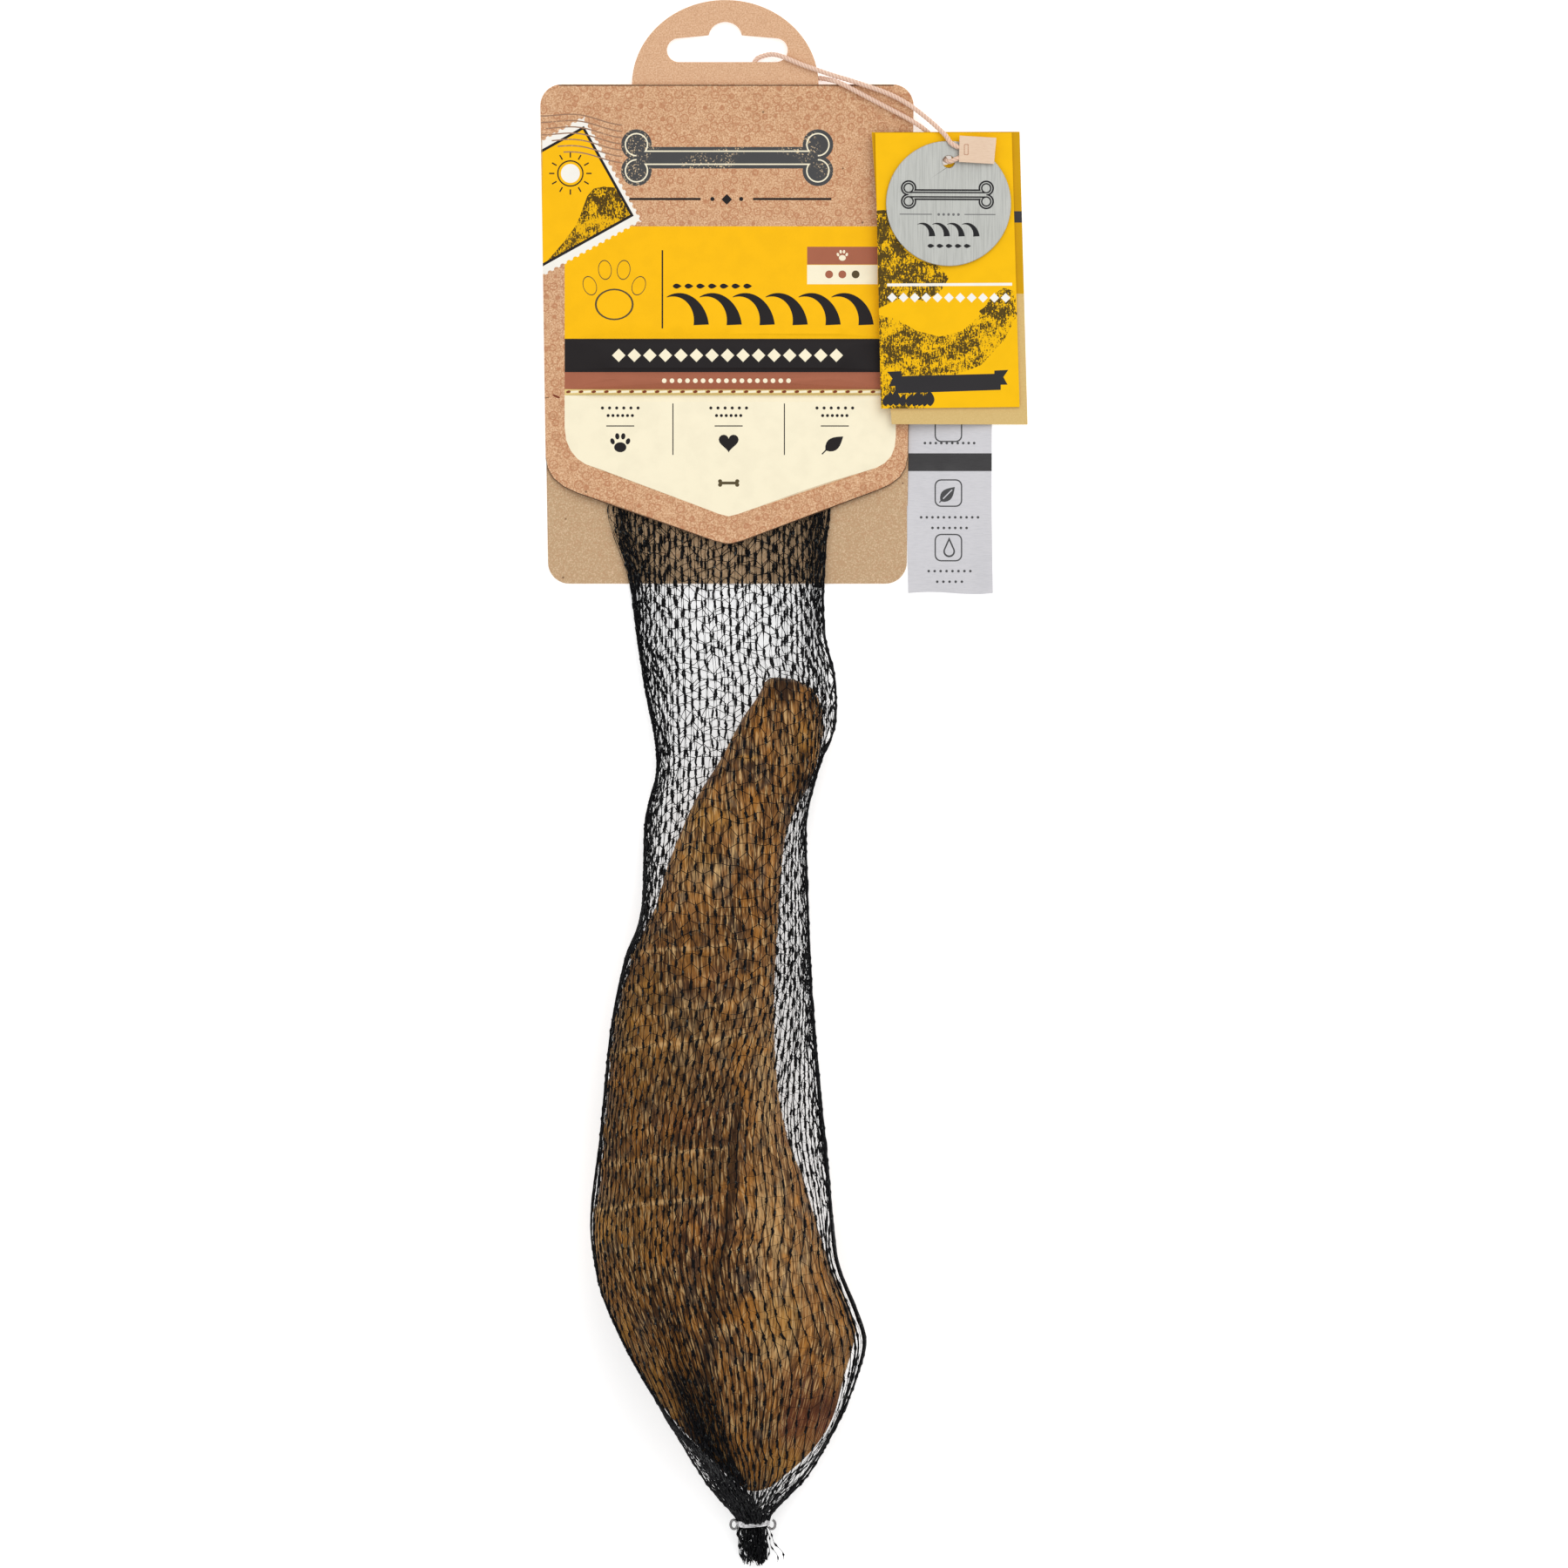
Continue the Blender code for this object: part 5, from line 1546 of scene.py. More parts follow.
@dataclass
class NetSleeve:
    """The black knitted sleeve, stretched over the horn and gathered at the tie."""

    shape: HornShape
    seed: int = 7
    over_wales: int = 42
    under_wales: int = 34
    over_count: int = 54
    under_count: int = 46
    row_pitch: float = 5.4
    split_y: float = -50.0
    room: float = 0.5
    knot_half: float = 1.05
    knot_radius: float = 0.42
    link_radius: float = 0.075
    thin_radius: float = 0.115
    slack_bunch: float = 0.035
    bunch_width: float = 2.8
    tight_y: Point2 = (-42.0, -102.0)
    bare_y: Point2 = (-145.0, -168.0)
    low_y: float = -195.4
    high_y: float = 92.0
    flat_z: float = 1.45
    flat_half_height: float = 0.65
    neck: Point2 = (-8.2, 6.0)
    neck_half_height: float = 3.2
    tail_y: float = -206.9
    pleat_strands: int = 70
    tail_strands: int = 120
    left: Curve = curve("""92 -47, 73 -46.6, 53 -40.7, 38.8 -38.8, 25.4 -36.7, 9.8 -33.8, 4 -33.4, -4 -35.4,
        -11.2 -36.8, -29.6 -37.1, -37.6 -38.4, -44.3 -41.3, -63.4 -45.3, -92.3 -48.2, -115.8 -50.7,
        -127.5 -49.3, -139.3 -45.5, -151 -39.7, -168 -30.2, -184.1 -20.5, -190.1 -15.4, -193.4 -12.4,
        -195.4 -11.7""")
    right: Curve = curve("""92 12.5, 73 12.1, 62.4 10.9, 46.6 10.3, 39.2 10.7, 27.7 13.4, 21.3 13.7,
        15.1 13.4, 8.2 10.5, 0.1 7.9, -11.2 5.7, -29.6 6.2, -52.3 7.2, -78.1 9.1, -101.1 11.4,
        -124.5 13.7, -139.3 19.3, -146.4 21.3, -152.4 20.1, -161.3 17.1, -174 11, -182.5 6, -187.6 1,
        -190.9 -2.4, -193.4 -4.2, -195.4 -4.7""")
    lobe_spread: Curve = curve("0 0, 0.1 0.1, 0.25 0.34, 0.4 0.52, 0.7 0.77, 1 1")
    left_band: Curve = curve("92 3, 60 3.6, 10 3.2, -12 3.4, -40 2.2, -55 0.9, -193 0.9")
    right_band: Curve = curve("""92 2.6, 60 2.8, 35 3, 20 3.4, 0 3.4, -20 3, -60 3.2, -90 2.2, -112 1.2,
        -193 0.9""")
    pleat_middle: Curve = curve("""-130 -30.5, -150 -27.5, -160 -23.6, -165 -21.6, -175 -18.4, -185 -14,
        -191 -10.2, -195.4 -8.3""")
    pleat_half_width: Curve = curve("-130 3.5, -150 4.6, -165 5, -175 4.8, -185 4.3, -191 3.8, -195.4 3.2")
    left_open: Curve = curve("92 0.35, -20 0.4, -44 0.45, -60 0.85, -193 0.85")
    right_open: Curve = curve("""92 0.25, 42 0.3, 30 0.6, -14 0.85, -30 0.7, -90 0.4, -122 1, -150 1,
        -160 1.12, -180 1.12, -193 1""")
    left_z: Curve = curve("""92 1.45, 60 1.45, 45 2.6, 28 5, -10 6.5, -40 13, -70 16, -120 19, -160 14,
        -180 8, -193.4 6""")
    right_z: Curve = curve("""92 1.45, 60 1.45, 45 2.6, 28 8, 5 9, -20 8, -60 7, -100 9, -125 14, -143 17,
        -165 12, -180 8, -193.4 6""")

    def __post_init__(self) -> None:
        """Work out the sleeve's rings, and make its yarn and the source of its small differences."""
        self.ys, rings = self.sections()
        self.middles = rings.mean(1)
        self.rings = np.concatenate((rings, rings[:, :1]), axis=1)
        self.random = np.random.default_rng(self.seed)
        self.yarn = Yarn().make()

    def core(self, y: float) -> np.ndarray:
        """List what the net is stretched over.

        Args:
            y: The place along.

        Returns:
            Points of the horn's section, or of a ring past the horn's ends, as x and z.
        """
        shape = self.shape
        tongue, head = float(shape.rim.value.min()) + 1.0, shape.left.at[-1] - 1.0
        if tongue < y < head:
            turns = np.pi * np.arange(181) / 180
            centre_x, centre_z = (float(v) for v in shape.middle(np.array(y)))
            half_width, half_height = float(shape.half_width(np.array(y))), float(shape.thickness(y)) / 2
            covered = turns[y >= shape.rim(centre_x - half_width * np.cos(turns))]
            share_x = -np.cos(np.linspace(covered[0], covered[-1], 61))
            share_z = np.sqrt(np.maximum(1.0 - share_x**2, 0.0)) ** shape.fullness
            x = centre_x + (half_width + self.room) * share_x
            over = centre_z + (half_height + self.room + 0.4) * share_z
            under = centre_z - (half_height + self.room) * share_z
            return np.vstack((np.stack((x, over), 1), np.stack((x, under), 1)))
        if y >= head:
            share = min(max((y - shape.tip_y - 0.8) / 33.0, 0.0), 1.0) ** 0.6
            start, end = (1.0, 10.5, 6.6, 9.2), (-17.0, self.flat_z, 24.0, self.flat_half_height)
        else:
            share = min((tongue - y) / (tongue - self.low_y), 1.0) ** 0.8
            start, end = (-8.2, 11.6, 9.0, 12.2), (*self.neck, 3.0, self.neck_half_height)
        x, z, half_width, half_height = (a + (b - a) * share for a, b in zip(start, end))
        turns = np.pi * np.arange(24) / 12
        return np.stack((x + half_width * np.cos(turns), z + half_height * np.sin(turns)), 1)

    def edge_points(self, y: float, core: np.ndarray) -> Outline:
        """Find the sleeve's two side edges, level with the horn where the net hugs it.

        Args:
            y: The place along.
            core: What the net is stretched over.

        Returns:
            The left and the right edge, as x and z.
        """
        middle, ends = float(core[:, 1].mean()), (core[:, 0].min(), core[:, 0].max())
        edges = []
        for side, height, reach in zip((self.left, self.right), (self.left_z, self.right_z), ends):
            x = float(side(y))
            slack = float(smoothstep(0.3, 4.0, abs(x - reach)))
            edges.append((x, middle + (float(height(y)) - middle) * slack))
        return edges

    @staticmethod
    def hull(points: Outline, up: bool) -> np.ndarray:
        """Draw a taut outline round points.

        Args:
            points: The points, as x and z.
            up: Whether the upper side is wanted.

        Returns:
            One side of it, left to right.
        """
        side: Outline = []
        for point in sorted(points):
            while len(side) > 1:
                (x0, z0), (x1, z1) = side[-2:]
                turn = (x1 - x0) * (point[1] - z0) - (z1 - z0) * (point[0] - x0)
                if turn != 0 and (turn < 0) == up:
                    break
                side.pop()
            side.append(point)
        return np.array(side)

    @staticmethod
    def steps_along(side: np.ndarray, count: int) -> np.ndarray:
        """Space points evenly along a polyline.

        Args:
            side: The polyline.
            count: How many points there are.

        Returns:
            The points, without the polyline's end.
        """
        reach = lengths_along(side)
        shares = np.arange(count) / count
        return np.stack([np.interp(shares * reach[-1], reach, side[:, k]) for k in range(2)], 1)

    def sections(self) -> Pair:
        """Work out the sleeve's sections.

        Returns:
            The places along Y, and the ring at each, from its right edge over the top.
        """
        ys = np.arange(self.low_y, self.high_y + 0.5, 1.0)
        rings = []
        for y in ys.tolist():
            core = self.core(y)
            edges = self.edge_points(y, core)
            core[:, 0] = np.clip(core[:, 0], edges[0][0] + 0.05, edges[1][0] - 0.05)
            points = [tuple(p) for p in core.tolist()] + edges
            top, bottom = self.hull(points, True), self.hull(points, False)
            bottom[:, 1] = np.maximum(bottom[:, 1], 0.1 + 0.7 * float(smoothstep(30.0, 50.0, y)))
            over = self.steps_along(top[::-1], self.over_count)
            rings.append(np.vstack((over, self.steps_along(bottom, self.under_count))))
        kernel = np.exp(-((np.arange(-5, 6) / 2.2) ** 2))
        padded = np.pad(np.array(rings), ((5, 5), (0, 0), (0, 0)), mode="edge")
        return ys, sum(weight * padded[i:i + len(ys)] for i, weight in enumerate(kernel / kernel.sum()))

    def read(self, share: np.ndarray, y: np.ndarray) -> Pair:
        """Read the sleeve's surface.

        Args:
            share: Shares of the way round.
            y: Places along Y.

        Returns:
            The points there and the directions out of the sleeve.
        """
        row = np.clip((y - self.ys[0]) / (self.ys[1] - self.ys[0]), 0, len(self.ys) - 1.001)
        count = self.over_count + self.under_count
        column = (share % 1.0) * count
        r, c = row.astype(int), np.minimum(column.astype(int), count - 1)
        dr, dc = (row - r)[..., None], (column - c)[..., None]
        near = self.rings[r, c] * (1 - dc) + self.rings[r, c + 1] * dc
        far = self.rings[r + 1, c] * (1 - dc) + self.rings[r + 1, c + 1] * dc
        flat = near * (1 - dr) + far * dr
        out = flat - (self.middles[r] * (1 - dr) + self.middles[r + 1] * dr)
        outward = np.stack((out[..., 0] * 0.6, np.zeros_like(y), out[..., 1]), -1)
        outward /= np.linalg.norm(outward, axis=-1, keepdims=True) + 1e-9
        return np.stack((flat[..., 0], y, flat[..., 1]), -1), outward

    @property
    def left_share(self) -> float:
        """The share of the way round at which the sleeve's left edge lies."""
        return self.over_count / (self.over_count + self.under_count)

    def straight(self, part: np.ndarray, y: np.ndarray) -> np.ndarray:
        """Return where wales lie that run straight along Y and bunch where a side edge comes in.

        Args:
            part: The wales' shares of the sleeve's width at its top, from the right.
            y: The places along Y.

        Returns:
            The shares of the width there, from the right.
        """
        right, left = float(self.right(self.high_y)), float(self.left(self.high_y))
        x = right + (left - right) * (part - self.slack_bunch * np.sin(2 * np.pi * part))
        from_right = np.logaddexp(0.0, (self.right(y) - x) / self.bunch_width)
        from_left = np.logaddexp(0.0, (x - self.left(y)) / self.bunch_width)
        return from_right / (from_right + from_left)

    def lanes(self, y: np.ndarray) -> np.ndarray:
        """Return each wale's share of the way round at places along Y.

        Args:
            y: The places, as wales by places.

        Returns:
            The shares: bunched at both side edges where the sleeve is slack, and widest apart
            over the horn's right lobe.
        """
        left, tight = self.left_share, smoothstep(*self.tight_y, y)
        part = (np.arange(self.over_wales)[:, None] + 0.5) / self.over_wales
        slack = self.straight(part, y[:self.over_wales])
        over = left * (slack + (self.lobe_spread(part) - slack) * tight[:self.over_wales])
        part = (np.arange(self.under_wales)[:, None] + 0.5) / self.under_wales
        slack = 1.0 - self.straight(1.0 - part, y[self.over_wales:])
        under = left + (1.0 - left) * (slack + (part - slack) * tight[self.over_wales:])
        share = np.vstack((over, under))
        drift = np.sin(y * 0.045 + 4.0 * np.pi * share) + 0.7 * np.sin(y * 0.11 - 6.0 * np.pi * share + 1.0)
        return share + 0.0026 * drift + 0.0012 * np.sin(y * 0.27 + 14.0 * np.pi * share)

    def fineness(self, share: np.ndarray, y: np.ndarray) -> np.ndarray:
        """Return how thick the yarn is, thinner beside the edges where the sleeve is taut.

        Args:
            share: The shares of the way round.
            y: The places along Y.

        Returns:
            The factors of the yarn's thickness, 1 away from the edges.
        """
        from_right = np.abs((share + 0.5) % 1.0 - 0.5)
        reach = 0.065 + 0.085 * smoothstep(-150.0, -166.0, y)
        right = (1.0 - smoothstep(0.02, reach, from_right)) * self.right_open(y)
        reach = 0.065 + 0.085 * smoothstep(-155.0, -176.0, y)
        left = (1.0 - smoothstep(0.015, reach, np.abs(share % 1.0 - self.left_share))) * self.left_open(y)
        under = (share % 1.0 > self.left_share) * smoothstep(*self.bare_y, y)
        return 1.0 - np.maximum(0.8 * np.maximum(right, left), 0.7 * under)

    def build(self) -> None:
        """Add the knitted sleeve in two lengths, its edges, its pleats and its gathered, frayed tail."""
        rows = np.arange(self.high_y - 3.5, self.low_y + 2.0, -self.row_pitch)[None]
        wale = np.arange(self.over_wales + self.under_wales)[:, None]
        place = rows + 0.9 * np.sin(wale * 0.37 + rows * 0.05) + 0.6 * np.sin(wale * 1.9 + rows * 0.3)
        place = place + self.random.normal(0.0, 0.5, place.shape) + (wale % 2) * self.row_pitch / 2
        half = self.knot_half * self.random.uniform(0.65, 1.2, place.shape)
        split = int(np.argmin(np.abs(rows[0] - self.split_y)))
        for name, span in (("net_upper", slice(0, split + 1)), ("net_lower", slice(split, None))):
            points, faces = self.knit(place[:, span], half[:, span])
            piece = new_piece(name, points, faces, [self.yarn], smooth_degrees=180.0)
            settle(piece, Slot.NET, "net_sleeve")
        self.build_edges()
        self.build_pleats()
        self.build_tail()

    def knit(self, place: np.ndarray, half: np.ndarray) -> Mesh:
        """Return some rows of the net: wales of thick stitches with thin links, and cross strands.

        Args:
            place: Each stitch's place along Y, as wales by rows.
            half: Half of each stitch's length.

        Returns:
            The points and the faces.
        """
        wales = len(place)
        upper, lower = place + half, place - half
        gap = upper[:, 1:] - lower[:, :-1]
        stitch = place[..., None] + half[..., None] * np.array([1.0, 0.6, 0.0, -0.6, -1.0])
        links = lower[:, :-1, None] + gap[..., None] * np.array([0.33, 0.68])
        along = np.concatenate((stitch[:, :-1], links), -1).reshape(wales, -1)
        along = np.hstack((along, stitch[:, -1]))
        share = self.lanes(along) + self.random.normal(0.0, 0.0008, along.shape)
        points, outward = self.read(share, along)
        crumple = smoothstep(-168.0, -184.0, along) * smoothstep(-194.0, -190.0, along)
        crumple = crumple * (np.sin(along * 0.9 + 40.0 * share) + np.sin(along * 2.1 + 97.0 * share))
        points = points + 0.28 * crumple[..., None] * outward
        thick = self.knot_radius * self.random.uniform(0.85, 1.15, place.shape)[..., None]
        thick = thick * np.array([0.42, 1.0, 0.84, 1.0, 0.42])
        link = self.link_radius * self.random.uniform(0.7, 1.2, links.shape)
        link = link * (1.0 + 1.3 * smoothstep(*self.tight_y, links))
        radii = np.concatenate((thick[:, :-1], link), -1).reshape(wales, -1)
        radii = np.hstack((radii, thick[:, -1])) * self.fineness(share, along)
        meshes = [tubes(points, outward, radii, 4)]
        steps = np.linspace(0.0, 1.0, 3)
        raised = (np.arange(wales) % 2 == 1)[:, None]
        shape = (-1, len(steps), 3)
        for toward in (1, -1):
            beside = np.roll(upper, -toward, axis=0)
            start, goal = lower[:, :-1], np.where(raised, beside[:, :-1], beside[:, 1:])
            along = (start[..., None] + (goal - start)[..., None] * steps).reshape(wales, -1)
            near = self.lanes(along)
            far = np.roll(near, -toward, axis=0)
            far[-1 if toward == 1 else 0] += toward
            share = near + (far - near) * np.tile(steps, start.shape[1])
            points, outward = self.read(share, along)
            thin = self.thin_radius * (1.0 - 0.5 * smoothstep(*self.tight_y, along))
            thin = (thin * self.fineness(share, along)).reshape(shape[:2])
            meshes.append(tubes(points.reshape(shape), outward.reshape(shape), thin, 3))
        faces, start = [], 0
        for points, made in meshes:
            faces += [tuple(i + start for i in face) for face in made]
            start += len(points)
        return np.vstack([points for points, _ in meshes]), faces

    def add_strands(
        self, name: str, points: np.ndarray, outward: np.ndarray, radii: np.ndarray, sides: int
    ) -> None:
        """Add strands of yarn as a piece.

        Args:
            name: The piece's name.
            points: Their centre lines, as strands by points by three.
            outward: A direction at each point that isn't along the strand.
            radii: The radius at each point.
            sides: How many sides each strand has.
        """
        made, faces = tubes(points, outward, radii, sides)
        settle(new_piece(name, made, faces, [self.yarn], smooth_degrees=180.0), Slot.NET)

    def build_edges(self) -> None:
        """Add the wales that bunch along both side edges of the flattened sleeve."""
        along = np.arange(self.high_y - 2.0, self.low_y + 1.0, -0.7)
        gone = 0.62 * smoothstep(-154.0, -166.0, along) * smoothstep(-188.0, -182.0, along)
        paths, radii = [], []
        right = SideWales(0.0, self.right_band, 1.0, slack_y=(-122.0, -108.0), taut_radius=0.44,
                          seats=(0.030, 0.044), thinned=0.5, slack_bead=0.16, worn=0.5, held_radius=0.14)
        left = SideWales(self.left_share, self.left_band, -1.0, slack_y=(-55.0, -38.0), taut_radius=0.12,
                         seats=(0.012, 0.03), thinned=0.0, slack_bead=0.0, worn=0.2, held_radius=0.08)
        for wales in (right, left):
            slack = smoothstep(*wales.slack_y, along)
            fine = 1.0 - wales.thinned * np.exp(-(((along - 2.0) / 12.0) ** 2)) - gone
            for index, seat in enumerate((0.0, 0.0045, *self.random.uniform(-1.0, 1.0, 6))):
                phase = self.random.uniform(0.0, 6.3, 4)
                sway = np.sin(along * 0.37 + phase[0]) + 0.7 * np.sin(along * 0.83 + phase[1])
                beads = np.maximum(np.sin(along * 2 * np.pi / 3.6 + 2.0 * sway + phase[2]), 0.0) ** 2
                if index < 2:
                    paths.append(wales.edge + wales.inward * seat + 0.0005 * sway)
                    rough = 0.05 + 0.24 * smoothstep(-140.0, -165.0, along) + wales.slack_bead * slack
                    thick = wales.taut_radius * (0.45 + 0.55 * smoothstep(-50.0, -85.0, along))
                    thick = thick * (1.0 - wales.worn * smoothstep(-146.0, -160.0, along))
                    radii.append(thick + rough * beads)
                else:
                    inner, side = wales.inward * wales.seats[index % 2], 1.0 if index % 2 else -1.0
                    place = side * (0.007 + (abs(seat) + 0.2 * sway) * wales.band(along) * 0.01)
                    paths.append(wales.edge + inner + (place - inner) * slack)
                    kept, thick = (slack, 0.0) if index > 3 else (1.0, wales.held_radius * (1.0 - slack))
                    radii.append(0.012 + thick + (0.07 + 0.25 * beads) * kept * fine)
        share = np.array(paths)
        points, outward = self.read(share % 1.0, np.repeat(along[None], len(share), axis=0))
        self.add_strands("net_edges", points + 0.1 * outward, outward, np.array(radii), 4)

    def height_over(self, x: np.ndarray, y: np.ndarray) -> np.ndarray:
        """Read the sleeve's upper side.

        Args:
            x: Places across.
            y: Places along.

        Returns:
            Its heights.
        """
        shares = np.linspace(0.0, self.left_share, 60)
        height = np.empty_like(x)
        for index in np.ndindex(x.shape):
            points, _ = self.read(shares, np.full(shares.shape, y[index]))
            height[index] = np.interp(x[index], points[::-1, 0], points[::-1, 2])
        return height

    def scatter(self, strands: int, low: float = 0.0, high: float = 1.0) -> np.ndarray:
        """Return a random number between low and high for each strand, as a column."""
        return self.random.uniform(low, high, (strands, 1))

    def build_pleats(self) -> None:
        """Add the slack net that is folded over itself beside the horn's tongue."""
        strands = self.pleat_strands
        steps = np.linspace(0.0, 1.0, 48)[None]
        lane, late = self.scatter(strands, -1.0), self.scatter(strands) ** 0.75
        low = np.arange(strands)[:, None] < strands // 4
        start_y = np.where(low, -181.0 - 5.0 * late, -130.0 - 54.0 * late)
        along = start_y + (self.low_y + 0.6 - start_y) * steps
        middle, half = self.pleat_middle(along), self.pleat_half_width(along)
        wave = 0.35 * np.sin(along * 0.5 + self.scatter(strands, 0.0, 6.3))
        beside = middle + 0.5 * half + (self.right(along) - 0.5 - middle - 0.5 * half) * np.abs(lane)
        x = np.where(low, beside + 0.5 * wave, middle + half * lane + wave)
        z = self.height_over(x, along) + 0.1 + 0.9 * self.scatter(strands) * (1.0 - lane**2)
        points = np.stack((x, along, z), -1)
        knots = np.maximum(np.sin(along * 1.7 + self.scatter(strands, 0.0, 6.3)), 0.0) ** 3
        full = 0.55 + 0.45 * smoothstep(-150.0, -182.0, along)
        thick = 0.03 + smoothstep(0.0, 0.12, steps) * (0.04 + 0.28 * knots) * full
        self.add_strands("net_pleats", points, upwards(points), thick, 4)

    def build_tail(self) -> None:
        """Add the strands that gather into the tie and the frayed tail past it."""
        strands = self.tail_strands
        steps = np.linspace(0.0, 1.0, 30)[None]
        turn, depth = self.scatter(strands, 0.0, 2 * np.pi), np.sqrt(self.scatter(strands))
        clump = np.floor(turn * 11.0 / (2 * np.pi))
        end = self.tail_y + 0.5 + 0.8 * (np.sin(clump * 2.7) + 1.0) + 1.2 * self.scatter(strands)
        leftward = smoothstep(0.3, -0.1, np.cos(turn))
        start = -189.5 + 4.0 * leftward - (3.5 + 3.0 * leftward) * self.scatter(strands) ** 0.6
        along = start + (end - start) * steps
        fallen = smoothstep(-196.0, -206.0, along)
        flare = 1.0 + 0.12 * smoothstep(-197.0, -206.0, along) * self.scatter(strands, -0.5)
        wave = 0.4 * np.sin(13.0 * steps + self.scatter(strands, 0.0, 6.3)) + 0.5 * np.sin(clump * 4.1)
        across = 3.45 * depth * np.cos(turn) * flare + smoothstep(-196.0, -202.0, along) * wave
        below = smoothstep(-195.2, -196.8, along) * smoothstep(-206.0, -197.5, along)
        x = self.neck[0] + across * (1.0 + 0.3 * below) + 0.9 * fallen
        z = self.neck[1] - 2.9 * smoothstep(-195.0, -206.0, along) + 2.55 * depth * np.sin(turn) * flare
        skin, _ = self.read(np.broadcast_to(turn / (2 * np.pi), along.shape), np.maximum(along, self.low_y))
        held = smoothstep(-188.0, -193.5, along)
        x = skin[..., 0] + (x - skin[..., 0]) * held
        z = skin[..., 2] + 0.15 * np.sin(turn) + (z - skin[..., 2]) * held
        stray = (self.scatter(strands) < 0.045) * fallen
        x = x + 4.2 * stray * self.scatter(strands, 0.4)
        points = np.stack((x, along, np.maximum(z, 0.3)), -1)
        knots = np.maximum(np.sin(along * 2.4 + turn * 9.0), 0.0) ** 2
        thick = np.where(stray > 0.0, 0.06, self.scatter(strands, 0.07, 0.13))
        thick = thick + (0.16 + 0.12 * depth**4) * knots
        self.add_strands("net_tail", points, upwards(points), thick, 5)


@dataclass
class TieClip:
    """The wire clip: a flattened band of wire closed round the net's neck, its ends curled out."""

    y: float = -194.75
    neck: Point2 = (-8.2, 6.0)
    reach_x: float = 4.15
    reach_z: float = 4.4
    band_half_width: float = 1.0
    band_half_depth: float = 0.4
    steps: int = 96
    sides: int = 16
    curl_radius: float = 0.9
    curl_wire: float = 0.34

    def band(self) -> Mesh:
        """Build the flattened ring.

        Returns:
            Its points and faces.
        """
        turns = (2 * np.pi * np.arange(self.steps) / self.steps)[:, None]
        sides = (2 * np.pi * np.arange(self.sides) / self.sides)[None]
        depth = self.band_half_depth * np.cos(sides)
        width = self.band_half_width * (1.0 - 0.3 * np.abs(np.cos(turns)) ** 4)
        x = self.neck[0] + (self.reach_x + depth) * np.cos(turns)
        y = self.y + 0.16 * np.sin(2 * turns) + width * np.sin(sides)
        z = self.neck[1] + (self.reach_z + depth) * np.sin(turns)
        return np.stack((x, y, z), -1).reshape(-1, 3), lofted(self.steps, self.sides, closed=True)

    def build(self) -> None:
        """Add the band, and the wire's two curled ends beside it."""
        # painted shade: the curled ends wear a darker copy of the clip wire, so that they look dim
        wire, curl = Wire().make(), Wire("clip curl wire", (0.30, 0.29, 0.29)).make()
        points, faces = self.band()
        settle(new_piece("clip_band", points, faces, [wire], smooth_degrees=60.0), Slot.CLIP, "tie_clip")
        curls = (("clip_curl_left", -1.0, -160.0, 190.0), ("clip_curl_right", 1.0, -150.0, 80.0))
        for name, side, first, last in curls:
            turns = np.radians(np.linspace(first, last, 30))
            x = self.neck[0] + side * (self.reach_x + 0.85 + self.curl_radius * np.cos(turns))
            y = self.y - 0.35 + 1.35 * self.curl_radius * np.sin(turns)
            path = np.stack((x, y, self.neck[1] + 1.1 + 0.25 * np.sin(turns)), -1)[None]
            made, faces = tubes(path, upwards(path), np.full(path.shape[:2], self.curl_wire), 8)
            settle(new_piece(name, made, faces, [curl], smooth_degrees=60.0), Slot.CLIP)


